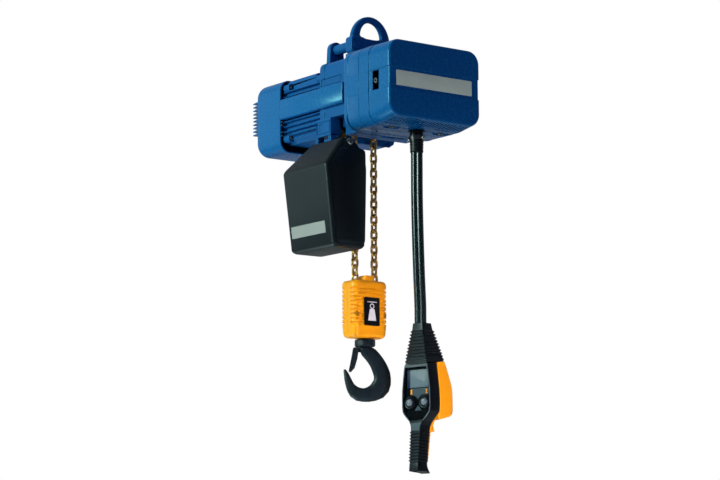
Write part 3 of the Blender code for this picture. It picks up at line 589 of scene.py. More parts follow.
def make_front_cover():
    wall = 4
    rings = [section(-5, wall + 1.7), section(-43, wall), section(-99.85, wall)]
    rings += [section(*station) for station in COVER_STATIONS]
    end, radius, recess = -0.05, 5.4, 1.9
    for angle in quarter(7)[1:]:
        x = end - radius + radius * sin(angle)
        inset = 1.7 + radius * (1 - cos(angle))
        rings.append(section(x, inset, recess, recess * sin(angle) ** 2))
    shell = loft(rings, last=end_faces())
    cuts = [rod("Z", (CABLE_TOP.x, CABLE_TOP.y, HOUSING_BOTTOM - 3), 12, 12.6, 32)]
    for side, turn in ((0, 1), (HOUSING_WIDTH, -1)):
        pocket = slab(-57, -19.4, -36, 19.4, 2.5, "Y", *sorted((side - turn * 4, side + turn * 4.2)))
        hole = rod("Y", (-49, side + (2 if turn > 0 else -8), 0), 6, 6.8)
        cuts += [pocket, hole]
    cuts.append(gathered([
        slab(-38, 24 + 7.6 * k, -9, 27.4 + 7.6 * k, 1.4, "Z", HOUSING_BOTTOM - 3, HOUSING_BOTTOM + 16, steps=3)
        for k in range(25)
    ]))
    cuts.append(gathered([
        slab(-84, y - 19, -60, y + 19, 11.5, "Z", HOUSING_BOTTOM - 3, HOUSING_BOTTOM + 8)
        for y in CUP_Y
    ]))
    cuts += [slab(-46, y, -42.4, y + 37, 1.5, "Z", HOUSING_BOTTOM - 3, HOUSING_BOTTOM + 8) for y in (24, 150)]
    cover = carve(shell, cuts=cuts)
    piece("cover", cover, "blue", "hoist", ["front_cover"], "blue_cover", edge=0.5, angle=48)
    plate = slab(20, -15.5, 214, 15.5, 1.5, "X", end - recess - 0.6, end - recess + 0.55, edge=0.4)
    piece("end_stripe", plate, "pale", "hoist")
    cups = [slab(-85, y - 20, -59, y + 20, 12.5, "Z", HOUSING_BOTTOM + 3, HOUSING_BOTTOM + 5) for y in CUP_Y]
    piece("underside_cups", gathered(cups), "blue_casting", "hoist")
    for y in CUP_Y:
        head = carve(
            rod("Z", (-71, y, HOUSING_BOTTOM - 0.2), 4, 6, 28, edge=0.8),
            cuts=[rod("Z", (-71, y, HOUSING_BOTTOM - 2), 4.4, 2.9, 6)],
        )
        piece(f"underside_screw_{y}", head, "screw", "hoist", slot="zinc")


def make_cover_screws():
    for name, face, start in (("near", 4, 4), ("far", HOUSING_WIDTH - 4, HOUSING_WIDTH - 11)):
        head = rod("Y", (-49, start, 0), 7, 5.6, 28, edge=0.7)
        screw = carve(head, cuts=[rod("Y", (-49, face - 3, 0), 6, 2.9, 6)])
        piece(f"cover_screw_head_{name}", screw, "screw", "hoist", [f"cover_screw_{name}"], "zinc")


def make_gear_housing():
    wall = 9
    rings = [section(-153.7 + 7.7 * (1 - cos(a)), 8 * (1 - sin(a))) for a in quarter(7)]
    rings += [section(*station) for station in GEARBOX_STATIONS]
    rings += [section(-100.15, wall), section(-146, wall)]
    slit = carve(
        box((-141.2, -6, -90), (-138.6, 34, -57)),
        cuts=[rod("X", (-145, HOUSING_CORNER, HOUSING_BOTTOM + HOUSING_CORNER), 10, 25.5, 40)],
    )
    housing = carve(loft(rings), cuts=[
        rod("X", (-156, AXIS_Y, AXIS_Z), 14, 16, 32), slit,
    ])
    piece("gearbox", housing, "blue", "hoist", ["gear_housing"], "blue_paint", edge=0.5, angle=48)


# ---------------- chain housing and suspension

PIN_Z, PIN_OFFSET, PIN_RADIUS = 110, 40.5, 10.8


def make_chain_housing():
    rear, front = -248, -154
    outline = [
        (12, -49), (12, 56), (13.2, 62), (16.5, 67), (21.5, 70), (27, 71), (188, 71), (199, 67), (205, 56),
        (205, -66), (200, -79), (189, -86), (34, -86), (34, -49),
    ]
    flange = [(y - 1.1 if y < 30 else y, z + 1.1 if z > 60 and y < 150 else z) for y, z in outline[:7]]
    flange += [(186, 60), (30, 60), (20, 50), (20, -49)]
    joins = [box((-276, 34, 51.2), (-240, 178, 66)), prism(flange, "X", -248, -232)]
    cuts = []
    for side in (-1, 1):
        middle = EYE.y + side * PIN_OFFSET
        lug = [(middle + 17.4 * cos(a), PIN_Z + 17.4 * sin(a)) for a in [pi * k / 14 for k in range(15)]]
        lug += [(middle - 20.4, 55), (middle + 20.4, 55)]
        joins.append(prism(lug, "X", -275, -262))
        joins.append(slab(-216, middle - 14, -192, middle + 14, 4, "Z", 58, 91.3))
        web = [(-263, 62), (-263, 98), (-257, 82), (-245, 72), (-232, 68)]
        joins.append(prism(web, "Y", middle - 4, middle + 4))
        cuts.append(rod("X", (-285, middle, PIN_Z), 40, PIN_RADIUS + 0.3, 40))
    cuts += [
        rod("X", (-227, AXIS_Y, AXIS_Z), 30, 35, 48), box((-227, 60, -90), (-197, 136, AXIS_Z)),
        box((-224, 28, -90), (-200, 66, -28)), rod("X", (-198, AXIS_Y, AXIS_Z), 50, 24.3, 40),
        rod("X", (rear - 5, AXIS_Y, AXIS_Z), 30, 12), rod("X", (-242, DEAD_Y, -56), 54, 5.3, 20),
        slab(150, -86, 196, 40, 8, "X", front - 0.1, front + 2), box((-244, 4, 22), (-176, 13.6, 36)),
        box((-243, 20, -95), (-190, 215, -68)), box((-246, 172, -85), (-240, 187, -74)),
        slab(-164, 102, -158, 137, 2, "Z", -90, -76),
    ]
    shape = carve(prism(outline, "X", rear, front), joins, cuts)
    piece("chain_case", shape, "blue_casting", "hoist", ["chain_housing"], "blue_paint", edge=1.6,
          segments=3, angle=35)
    for i, (y, z) in enumerate(((23, 44), (196, 44), (196, -74), (44, -78))):
        bolt = rod("X", (rear - 5.5, y, z), 8, 4.6, 6)
        piece(f"case_bolt_{i}", bolt, "screw", "hoist", edge=0.5)


def make_bracket():
    middle, steps = EYE.y, 40
    crown, sections = [], []
    for k in range(steps + 1):
        angle = pi * k / steps
        outer = Vector((0, middle + 49 * cos(angle), 120 + 55 * sin(angle)))
        inner = Vector((0, middle + 28 * cos(angle), 130 + 32 * max(sin(angle), 0.0)))
        point = (outer + inner) / 2
        point.x = -203
        crown.append(point)
        sections.append(oval((outer - inner).length / 2, 6.9, 20, 0.62))
    feet = [Vector((-203, crown[end].y, 104)) for end in (0, -1)]
    loop = sweep([feet[0], *crown, feet[1]], [sections[0], *sections, sections[-1]], (1, 0, 0))
    saddle = [(middle - 45, 93), (middle + 45, 93), (middle + 45, 122)]
    saddle += [(middle + 28 * cos(a), 131 - 5 * sin(a)) for a in [pi * k / 12 for k in range(13)]]
    joins, cuts = [prism([*saddle, (middle - 45, 122)], "X", -209.6, -196.4)], []
    for side in (-1, 1):
        low_y, high_y = sorted((middle + side * 55, middle + side * 19))
        joins.append(slab(low_y, 92.4, high_y, 127, 6, "X", -213, -191))
        cuts.append(rod("X", (-220, middle + side * PIN_OFFSET, PIN_Z), 40, PIN_RADIUS + 0.3, 40))
    fine("suspension_loop", carve(loop, joins, cuts), 1.1, "blue_casting", "hoist", ["suspension_bracket"],
         "blue_paint", rounds=7)
    for side, name in ((-1, "near"), (1, "far")):
        pin = rod("X", (-277, middle + side * PIN_OFFSET, PIN_Z), 87, PIN_RADIUS, 40, edge=1.2)
        piece(f"pin_{name}", pin, "blue_casting", "hoist", [f"suspension_pin_{name}"], "blue_paint")


# ---------------- motor and fan cowl

MOTOR_REAR, MOTOR_FRONT = -381, -248.3


def make_motor():
    core, tip = 21, 12
    side = [(33, -78), (core, -68)]
    for k in range(10):
        z = -64 + 10.6 * k
        side += [
            (core, z), (tip + 0.8, z + 0.9), (tip, z + 1.5), (tip, z + 2.3), (tip + 0.8, z + 2.9), (core, z + 3.8),
        ]
    side += [(core, 44), (24, 55), (29, 60)]
    far = [(194 - y, z) for y, z in reversed(side)]
    underside = [(44, -86), (180, -86), (187, -82), (190, -75), (190, -66), (44, -66)]
    joins = [prism(underside, "X", -296, MOTOR_FRONT)]
    corners = [(y, z) for y in (19, 175) for z in (42, -66)]
    for y, z in corners:
        for low, high in ((-380.5, -360), (-262, MOTOR_FRONT)):
            joins.append(slab(y - 7, z - 8, y + 7, z + 8, 6, "X", low, high))
    shape = carve(prism(side + far, "X", MOTOR_REAR, MOTOR_FRONT), joins, [
        box((-276.6, 5, 50.4), (-240, 195, 70)), rod("X", (MOTOR_REAR - 2, AXIS_Y, AXIS_Z), 119, 56, 64),
        rod("X", (-270, AXIS_Y, AXIS_Z), 30, 20.3, 32),
    ])
    piece("motor_case", shape, "blue_casting", "hoist", ["motor_housing"], "blue_paint", edge=0.7, angle=38)
    for i, (y, z) in enumerate(corners):
        screw = carve(rod("X", (-361, y, z), 5, 4.4, 24, edge=0.6), cuts=[rod("X", (-358, y, z), 4, 2.3, 6)])
        piece(f"motor_screw_{i}", screw, "screw", "hoist")


def cowl_ring(x, rear, grow=0.0):
    """A ring of the cowl. rear runs from 0 on the straight part to 1 on the end face."""
    near, far = 4 + 12 * rear + grow, 190 - 12 * rear - grow
    bottom, top = -94 + 24 * rear + grow, 62 - 14 * rear - grow
    return [place("X", y, z, x) for y, z in rounded(near, bottom, far, top, 25 - 7 * rear - grow, 9)]


# Along X from the cowl's end: the near side of a cooling fin, and half its thickness
FIN_STATIONS = ((-470, 8, 2.1), (-480, 9.2, 1.8), (-488, 10, 1.2), (-493.5, 11.2, 0.8), (-494.9, 13, 0.35))


def make_cowl():
    outer = [cowl_ring(-455 - 21 * sin(a), 1 - cos(a)) for a in quarter(8)]
    inner = [cowl_ring(-455 - 18 * sin(a), 1 - cos(a), 3) for a in quarter(8)]
    rim = [cowl_ring(-382.2, 0), cowl_ring(-381, 0, 1.0), cowl_ring(-381, 0, 3)]
    shape = carve(loft(outer[::-1] + rim + inner), cuts=[gathered([
        slab(40, z - 1.7, 154, z + 1.7, 1.6, "X", -480, -470, steps=3) for z in [-37.2 + 7.6 * k for k in range(9)]
    ])])
    piece("cowl", shape, "blue", "hoist", ["fan_cowl"], "blue_cover", edge=0.4, angle=50)
    fins = []
    for k in range(10):
        z = -41 + k * 7.6
        rings = []
        for x, near, half in FIN_STATIONS:
            far = 194 - near
            below = [(near, -half), (near + 3, -half - 0.1), (far - 3, -half - 0.1), (far, -half)]
            above = [(y, -h) for y, h in reversed(below)]
            rings.append([Vector((x, y, z + h)) for y, h in below + above])
        fins.append(loft(rings))
    fins += [box((-486, y, -43), (-474, y + 3.5, 29)) for y in (52, 95.5, 139)]
    piece("cowl_fins", gathered(fins), "blue", "hoist", edge=0.6, angle=40)


def make_duct():
    rings = []
    for y, inset in ((11.7, 0), (4.6, 0), (3.2, 0.5), (2.3, 1.6), (2, 3)):
        outline = rounded(MOTOR_REAR + 0.5 + inset, -26 + inset, -158 - inset * 0.3, 17 - inset, 3.5, 5)
        rings.append([place("Y", x, z, y) for x, z in outline])
    piece("duct_cover", loft(rings), "blue", "hoist", ["side_duct"], "blue_cover")


# ---------------- chain


def link(centre, across, wire=CHAIN_WIRE / 2, sides=10, heading=(0, 0, 1), pitch=CHAIN_PITCH):
    """One link of round wire: its plane holds heading, and across is the plane's normal."""
    bend = (CHAIN_WIDTH - CHAIN_WIRE) / 2
    straight = (pitch + CHAIN_WIRE - 2 * bend) / 2
    heading, across = Vector(heading).normalized(), Vector(across).normalized()
    side = across.cross(heading)
    path = []
    for end in (1, -1):
        for k in range(7):
            angle = pi * k / 6
            u = bend * cos(angle) * end
            v = (straight + bend * sin(angle)) * end
            path.append(Vector(centre) + side * u + heading * v)
    return sweep(path, oval(wire, wire, sides), across, closed=True)


def straight_chain(x, y, low, high, first_wide, count):
    pitch = (high - low) / count
    return gathered([
        link((x, y, low + pitch * (k + 0.5)), (0, 1, 0) if (k + first_wide) % 2 else (1, 0, 0), pitch=pitch)
        for k in range(count)
    ])


def bent_chain(centre, radius, start, end, count):
    """Links round a wheel on an axis along X, from angle start to end."""
    links = []
    for k in range(count):
        angle = start + (end - start) * (k + 0.5) / count
        outward = Vector((0, cos(angle), sin(angle)))
        heading = Vector((0, -sin(angle), cos(angle)))
        links.append(link(Vector(centre) + radius * outward, (1, 0, 0) if k % 2 else outward, heading=heading))
    return gathered(links)


def make_chain():
    bottom = SHEAVE_Z
    for name, y, low_links, top, top_links in (
        ("live", LIVE_Y, 8, -17.6, 17), ("dead", DEAD_Y, 5, -64, 18),
    ):
        middle = bottom + low_links * CHAIN_PITCH
        lower = straight_chain(FALL_X, y, bottom, middle, 0, low_links)
        piece(f"chain_{name}_low", lower, "chain", "hook_block", [f"chain_fall_{name}"], "chain_gold")
        upper = straight_chain(FALL_X, y, middle, top, low_links, top_links)
        obj = piece(f"chain_{name}_high", upper, "chain", "hoist", slot="chain_gold")
        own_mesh(obj)
    under = bent_chain((FALL_X, AXIS_Y, SHEAVE_Z), PITCH_RADIUS, pi, TURN, 5)
    piece("chain_under_sheave", under, "chain", "hook_block", slot="chain_gold")
    over = bent_chain((FALL_X, AXIS_Y, AXIS_Z), PITCH_RADIUS, 0, pi, 5)
    piece("chain_over_wheel", over, "chain", "hoist", slot="chain_gold")
    make_slack_chain()


def make_slack_chain():
    route = smooth_route(((FALL_X, 72, -20), (FALL_X, 64, -50), (FALL_X, 46, -80), (FALL_X, 37, -110),
                          (FALL_X, 30, -160), (FALL_X, 24, -240)), 12)
    links, passed, k = [], 0.0, 0
    for before, after in zip(route, route[1:]):
        step = (after - before).length
        while passed + step > (k + 0.5) * CHAIN_PITCH:
            share = ((k + 0.5) * CHAIN_PITCH - passed) / step
            heading = (after - before).normalized()
            outward = Vector((1, 0, 0)).cross(heading)
            links.append(link(before.lerp(after, share), (1, 0, 0) if k % 2 else outward, heading=heading))
            k += 1
        passed += step
    piece("chain_slack", gathered(links), "chain", "hoist", ["slack_chain"], "chain_gold")
    draw = random.Random(7)
    heap = []
    for k in range(150):
        x, y = draw.uniform(-276, -160), draw.uniform(-12, 28)
        hump = 1 - ((x + 218) / 75) ** 2 * 0.6 - ((y - 6) / 40) ** 2 * 0.5
        z = -306 + draw.uniform(0, 1) ** 0.6 * 46 * hump
        heading = Vector((draw.uniform(-1, 1), draw.uniform(-1, 1), draw.uniform(-0.5, 0.5)))
        across = heading.cross(Vector((draw.uniform(-1, 1), draw.uniform(-1, 1), draw.uniform(-1, 1))))
        heap.append(link((x, y, z), across, sides=6, heading=heading))
    piece("chain_heap", gathered(heap), "chain", "hoist", ["stored_chain"], "chain_gold")


def make_chain_guide():
    guide = carve(slab(-226.7, 60.3, -197.3, 135.7, 3, "Z", -76, -61.6, edge=1), cuts=[
        slab(FALL_X - 10, y - 10.5, FALL_X + 10, y + 10.5, 4, "Z", -90, -50) for y in (LIVE_Y, DEAD_Y)
    ])
    piece("fall_guide", guide, "black", "hoist", ["chain_guide"], "black_plastic", edge=0.8)


def make_bucket_bracket():
    joins = [slab(4, -117, 20, -84, 3, "X", x, x + 10) for x in (-254, -210)]
    joins.append(box((-246, 2.9, -80), (-202, 5, -56)))
    cuts = [rod("X", (-260, 10, -108), 70, 4.3, 20), slab(-240, -74, -226, -60, 2, "Y", 0, 5.2)]
    shape = carve(box((-247.6, 3.2, -87), (-200, 27.7, -49.3)), joins, cuts)
    piece("bucket_holder", shape, "blue_casting", "hoist", ["bucket_bracket"], "blue_paint", edge=1.2,
          segments=3, angle=40)
    bolt = carve(rod("X", (-264, 10, -108), 121, 4, 24, edge=0.6), joins=[
        rod("X", (-145.5, 10, -108), 6, 7, 32, edge=1.4),
    ])
    piece("bucket_pin", bolt, "zinc", "hoist", ["bucket_bolt"], "zinc")


# ---------------- chain bucket

# Upwards: the bucket's left, right, near and far sides, and the radius of its corners
BUCKET = (
    (-326, -284, -152, -22, 39, 5), (-325.2, -288, -148, -26, 43, 7), (-323, -291.4, -144.8, -29.4, 46.4, 8.4),
    (-319, -294, -142, -32, 49, 9), (-240, -295, -141, -41.6, 50, 9), (-165, -296, -140, -50.8, 51, 9),
    (-161.5, -295.8, -140.2, -51, 51, 9), (-157.5, -294.4, -140.4, -49.8, 50.8, 9),
    (-153, -292, -141, -47, 50.4, 9), (-124, -272, -143.6, -24.2, 50, 9), (-108, -261, -146.9, -11.7, 50, 9),
    (-102, -257, -148, -7, 50, 9),
)
BUCKET_RIM = ((20, -95), (20, -101.6), (27, -107.5), (31, -114), (35, -119.5), (45, -122), (60, -124), (60, -95))


def bucket_ring(row, inset=0.0):
    z, left, right, near, far, radius = row
    bounds = (left + inset, near + inset, right - inset, far - inset)
    return [place("Z", x, y, z) for x, y in rounded(*bounds, radius - inset, 8)]


def bucket_row(z):
    """The bucket's left, right, near and far sides at a height."""
    for lower, upper in zip(BUCKET, BUCKET[1:]):
        if lower[0] <= z <= upper[0]:
            share = (z - lower[0]) / (upper[0] - lower[0])
            return [a + (b - a) * share for a, b in zip(lower[1:5], upper[1:5])]
    return BUCKET[-1][1:5]


# Upwards: how far the raised panel of the bucket's end is from the sides
END_PANEL = (
    (-316, 8), (-313, 4.6), (-308, 3.4), (-240, 3), (-170, 3), (-164, 3), (-159, 3), (-153, 3), (-132, 3),
    (-126, 4), (-122.5, 7),
)


def make_bucket():
    inner = [bucket_ring(row, 3) for row in BUCKET]
    for point in inner[0]:
        point.z += 3
    shell = loft([bucket_ring(row) for row in BUCKET] + inner[::-1])
    bucket = carve(shell, cuts=[
        rod("X", (-290, 10, -108), 160, 4.4, 20), prism(BUCKET_RIM, "X", -310, -130),
    ])
    piece("bucket", bucket, "bucket", "hoist", ["chain_bucket"], "bucket_plastic", edge=0.5, angle=50, smooth=40)
    panel = []
    for z, inset in END_PANEL:
        _, right, near, far = bucket_row(z)
        start, end = near + 8 + inset, far + 1.2 - inset * 0.9
        deep = 0.2 if z == -316 else (-0.6 if z == -122.5 else 1.0)
        if z > -155:
            deep += -140.8 - right
        panel.append([Vector((right + x, y, z)) for x, y in (
            (-2, start), (deep - 0.8, start), (deep, start + 1.2), (deep, end - 3), (deep - 1.2, end - 0.6),
            (-2, end),
        )])
    piece("bucket_end_panel", loft(panel), "bucket", "hoist", slot="bucket_plastic", smooth=50)
    lip = []
    for z in (-318, -240, -163):
        _, right, near, _ = bucket_row(z)
        lip.append([Vector((right + x, near + y, z)) for x, y in (
            (-9, 1), (-7.6, 0), (-5, 0.2), (-2.9, 1.2), (-1.2, 3), (-0.2, 5.4), (0.15, 8.2), (-1.5, 9.4), (-3, 6),
        )])
    piece("bucket_corner", loft(lip), "bucket", "hoist", slot="bucket_plastic", smooth=60)
    stripe = []
    for z in (-296, -272):
        front = bucket_row(z)[2] - 0.35
        stripe.append([Vector((x, y, z)) for x, y in (
            (-281, front), (-165, front), (-165, front + 1.35), (-281, front + 1.35),
        )])
    piece("bucket_stripe", loft(stripe), "stripe", "hoist")


# ---------------- hook block

BLOCK_X, BLOCK_Y = (-239, -187), (53.5, 140)
BLOCK_BOTTOM, BLOCK_TOP = -498.5, -380.5


def make_block():
    rows = [(BLOCK_BOTTOM + 13 * (1 - cos(a)), 1.5 + 10 * (1 - sin(a)), 0) for a in quarter(8)]
    rows.append((-474, 0.5, 0))
    for k in range(9):
        middle = -466 + 8.7 * k
        rows += [(middle + dz, 0, deep) for dz, deep in ((-3.3, 0), (-2.6, 1), (-1.6, 1.35), (-0.6, 1), (0.1, 0))]
    rows += [(BLOCK_TOP - 9 + 9 * cos(a), 9 * (1 - sin(a)), 0) for a in quarter(6)[::-1]]
    whole = loft([ridged_ring(z, inset, deep, full=z > -425) for z, inset, deep in rows])
    cavity = [
        rod("X", (FALL_X - 13.2, AXIS_Y, SHEAVE_Z), 26.4, 34.5, 48),
        *[box((FALL_X - 10, y - 10.5, SHEAVE_Z), (FALL_X + 10, y + 10.5, -360)) for y in (DEAD_Y, LIVE_Y)],
        box((-233.5, 76, -490), (-192.5, 119, -396)), rod("Z", (FALL_X, AXIS_Y, -505), 20, 12.5, 32),
    ]
    cap = slab(-231, 84, -193, 111, 6, "Z", -392, -370.2, edge=2)
    notch = box((-240, 80, -372.5), (-213.5, 90, -365))
    recesses = [slab(y - 7, -457, y + 7, -443, 2, "X", -189.4, -180) for y in (62, 133)]
    holes = [rod("X", (-192, y, -450), 6, 4.9, 28) for y in (62, 133)]
    label = slab(76.4, -474.4, 116.6, -415.6, 3.4, "X", -187.8, -180)
    shape = carve(whole, [cap], [*cavity, notch, *recesses, *holes, label])
    for name, low, high in (("front", -300, FALL_X + 0.15), ("rear", FALL_X - 0.15, -100)):
        half = carve(shape.copy(), cuts=[box((low, 0, -600), (high, 220, -300))])
        piece(f"block_half_{name}", half, "yellow", "hook_block", [f"block_shell_{name}"], "yellow_plastic",
              edge=0.35, angle=50, smooth=40)
    shape.free()
    for name, y in (("near", 62), ("far", 133)):
        screw = carve(rod("X", (-230, y, -450), 39.4, 4.4, 24, edge=0.6), cuts=[
            rod("X", (-193, y, -450), 5, 2.3, 6),
        ])
        piece(f"block_bolt_{name}", screw, "block_screw", "hook_block", [f"block_screw_{name}"], "zinc")
    plate = slab(77, -473.8, 116, -416.2, 3, "X", -187.6, -185.8, edge=0.5)
    piece("block_label", plate, "black", "hook_block", ["capacity_plate"], "black_plastic")
    make_load_symbol()


def ridged_ring(z, inset, deep, full):
    """One ring of the block. deep grooves bite at the four upright corners, and right across if full."""
    (low_x, high_x), (low_y, high_y) = [(low + inset, high - inset) for low, high in (BLOCK_X, BLOCK_Y)]
    radius, points = 13 - min(inset, 6), []
    outline = rounded(low_x, low_y, high_x, high_y, radius, 7)
    middle_x, middle_y = (low_x + high_x) / 2, (low_y + high_y) / 2
    dense = []
    for i, (x, y) in enumerate(outline):
        dense.append((x, y))
        if i % 8 == 7:
            x1, y1 = outline[(i + 1) % len(outline)]
            dense += [(x + (x1 - x) * share, y + (y1 - y) * share) for share in (0.10, 0.16, 0.84, 0.90)]
    for x, y in dense:
        on_end = abs(abs(x - middle_x) - (high_x - low_x) / 2) < 0.01
        across = 1.0 if full and on_end else 0.0
        corner_y = max(0.0, min(1.0, (abs(y - middle_y) - (high_y - low_y) / 2 + radius * 1.5) / 3))
        corner_x = max(0.0, min(1.0, (abs(x - middle_x) - (high_x - low_x) / 2 + radius * 1.2) / 2))
        strength = max(across, min(corner_x, corner_y)) * deep
        pull = Vector((middle_x - x, middle_y - y)).normalized() * 2.4 * strength
        points.append(Vector((x + pull.x, y + pull.y, z)))
    return points


def make_load_symbol():
    """A plain weight with its ring, as a generic sign for the load."""
    x0, x1 = -186.0, -185.75
    weight = prism([(86, -464), (107, -464), (102.5, -440), (90.5, -440)], "X", x0, x1)
    section_of_ring = [(-1, -0.13), (1, -0.13), (1, 0.13), (-1, 0.13)]
    ring = sweep(circle("X", ((x0 + x1) / 2, 96.5, -434.2), 4.6, 24), section_of_ring, (1, 0, 0), closed=True)
    bar = prism([(84, -426.5), (109, -426.5), (109, -424.6), (84, -424.6)], "X", x0, x1)
    piece("load_symbol", gathered([weight, ring, bar]), "white", "hook_block")


# ---------------- hook


def hook_frame():
    return Matrix.Translation((FALL_X, AXIS_Y, 0)) @ Matrix.Rotation(HOOK_TURN, 4, "Z")


# The hook from its neck to its tip: (across, z) of the middle, half width, half thickness
HOOK_STATIONS = (
    (0, -515.9, 9.6, 9.4), (0, -518.5, 12.0, 10), (4.5, -524.5, 13.8, 10), (11.5, -531, 14.8, 10),
    (17.5, -538, 15.2, 10), (23.1, -546, 15.6, 10.3), (27.5, -554, 16.2, 10.6), (31.2, -562.5, 16.8, 11),
    (34.2, -571, 17.2, 11.3), (35.2, -580, 17.5, 11.5), (34.6, -588.5, 18.4, 11.5), (31.4, -597, 19.6, 11.5),
    (25, -604.6, 19, 11.4), (15.6, -609.8, 16.9, 11.2), (5, -613, 15, 11), (-4.5, -613.6, 14, 10.9),
    (-13.6, -612, 14, 10.7), (-22, -607, 12.8, 10.2), (-27.2, -600.5, 10.7, 9.6), (-30.8, -594, 9.0, 9.0),
    (-33.5, -587, 7.9, 8.4), (-36, -579, 6.8, 7.6), (-38.4, -571, 5.2, 6.2), (-40.8, -564.5, 3.5, 4.6),
    (-42.2, -561, 1.8, 2.6),
)


def make_hook():
    across = Vector((0, 1, 0))
    path = [Vector((a, 0, z)) for a, z, _, _ in HOOK_STATIONS]
    rings = []
    for i, (a, z, half, thick) in enumerate(HOOK_STATIONS):
        before, after = path[max(i - 1, 0)], path[min(i + 1, len(path) - 1)]
        heading = (after - before).normalized()
        if i <= 2:
            heading = Vector((0, 0, -1)).lerp(heading, i * 0.4).normalized()
        side = across.cross(heading)
        outline = oval(half, thick, 24, 0.72)
        rings.append([path[i] + side * u + across * v * (1 + 0.10 * (u / half)) for u, v in outline])
    body = loft(rings)
    shank = rod("Z", (0, 0, -522), 67, 8.5, 32, edge=1)
    lug = slab(-21.5, -526, -3, -516, 4, "Y", -4, 4)
    hole = rod("Y", (-15.6, -10, -520), 20, 2.8, 20)
    shape = moved(carve(body, [shank, lug], [hole]), hook_frame())
    fine("hook_body", shape, 0.8, "hook", "swivel_hook", ["hook"], "hook_steel", rounds=5)
    collar = ((-515.2, 19.2), (-514.2, 20.8), (-512.5, 21.6), (-503, 21.6), (-501.4, 20.8), (-500.4, 19.2))
    rings = [circle("Z", (FALL_X, AXIS_Y, z), radius, 12, 0.2) for z, radius in collar]
    shape = carve(loft(rings), cuts=[rod("Z", (FALL_X, AXIS_Y, -520), 30, 9, 32)])
    piece("collar", shape, "hook", "swivel_hook", ["swivel_collar"], "hook_steel", edge=0.6, angle=20)


def make_latch():
    x, z = -15.6, -520
    outside = [
        (x - 9, z + 1), (x - 7, z + 3.4), (x - 2, z + 3.8), (x + 1.8, z + 3), (x + 2.6, z - 1), (-15.4, -538),
        (-21.2, -558), (-29, -566.4), (-33.6, -565), (-28.4, -540),
    ]
    inside = [
        (x - 14, z + 9), (x + 12, z + 9), (-11.4, -538), (-18.6, -556), (-28.6, -563), (-31.4, -560), (-26.6, -539),
    ]
    teeth = [rod("Y", (-13.4 - 1.45 * k, -9, -537.4 - 4.4 * k), 18, 1.5, 12) for k in range(5)]
    shape = carve(prism(outside, "Y", -7.5, 7.5), cuts=[prism(inside, "Y", -5.6, 5.6), *teeth])
    head = rod("Y", (x, -9, z), 1.6, 3.8, 24, edge=0.5)
    pin = carve(rod("Y", (x, -9, z), 18, 2.4, 24, edge=0.5), joins=[head])
    whole = moved(gathered([shape, pin]), hook_frame())
    piece("latch_body", whole, "latch", "hook_latch", ["latch"], "hook_steel", edge=0.5, angle=40)


# ---------------- pendant control


def pendant_piece(name, shape, finish, replaces=(), slot=None, body="pendant", **how):
    """A piece written in the pendant's own datum, at the top of its sleeve."""
    turn = Matrix.Translation(PENDANT_AT) @ Matrix.Rotation(PENDANT_TURN, 4, "Z")
    piece(name, moved(shape, turn), finish, body, replaces, slot, **how)


def pendant_ring(z, half, front, back, radius, steps=6):
    return [place("Z", x, y, z) for x, y in rounded(-half, front, half, back, radius, steps)]


def blend_rows(rows, z):
    """The row at a height, between the given rows of (z, values)."""
    for upper, lower in zip(rows, rows[1:]):
        if lower[0] <= z <= upper[0]:
            share = (upper[0] - z) / (upper[0] - lower[0])
            return [a + (b - a) * share for a, b in zip(upper[1:], lower[1:])]
    return list(rows[-1][1:])


# Downwards from the top of the sleeve: half the width, the front, the back, the corners' radius
SLEEVE_ROWS = ((0, 14, -9, 17.4, 3), (-13, 15.6, -9.8, 20, 3), (-81.2, 30.8, -14.8, 36.6, 3.4))
FRONT_ROWS = (
    (-81.4, 31, -15, 15.2, 3), (-96, 33.2, -15, 15.2, 3), (-120, 36.2, -15, 15.2, 3), (-134, 37.8, -15, 15.2, 3),
    (-145, 38.4, -15, 15.2, 3), (-168, 38.4, -15, 15.2, 3), (-177, 37, -15, 15.2, 3), (-188, 28.6, -15, 14.6, 3.5),
    (-197, 20, -16, 13.2, 4), (-206, 15.4, -17.2, 12, 4), (-215, 14.2, -18.2, 11, 4), (-284, 13.6, -23.8, 3.2, 4),
    (-292, 13.6, -24.4, 7, 4), (-300, 13.6, -25, 12, 4),
)
SEAM_SLOPE = 5 / 51


def seam_raised(point, share):
    """The lower edge of the sleeve and the upper edge of the back rise towards the back."""
    return Vector((point.x, point.y, point.z + (point.y + 15) * SEAM_SLOPE * share))


def make_sleeve():
    rings = [pendant_ring(z, *blend_rows(SLEEVE_ROWS, z)) for z in (0, -13)]
    for k in range(10):
        top = -14.5 - k * 6.6
        for drop, grow in ((0, 0), (0.8, 1.5), (3.2, 1.9), (4.2, 0.2), (5.6, -0.4)):
            z = top - drop
            half, front, back, radius = blend_rows(SLEEVE_ROWS, max(z, -81))
            edge = min(grow, 1.0) if z < -70 else grow
            ring = pendant_ring(z, half + edge, front - edge, back + edge, radius)
            rings.append([seam_raised(p, k / 10) for p in ring])
    rings.append([seam_raised(p, 1) for p in pendant_ring(-81, 30.9, -14.9, 36.6, 3.4)])
    pendant_piece("ribbed_sleeve", loft(rings), "rubber", ["bend_sleeve"], "rubber", smooth=50)


def rim_outline(inset, top=None):
    """The outline of the front's face. top is the inset of its upper edge."""
    points = [(30.6, -83.5), (33.0, -96), (36.0, -120), (37.6, -134), (38.1, -145), (38.1, -168), (36.8, -177),
              (33.2, -182.4), (28.3, -187.4), (20, -195.4)]
    top = inset if top is None else top
    shrunk = []
    for x, z in points:
        lift = top if z > -90 else 0
        rise = inset * 0.8 if z < -180 else 0
        shrunk.append((x - inset, z - lift + rise))
    return shrunk + [(-x, z) for x, z in reversed(shrunk)]


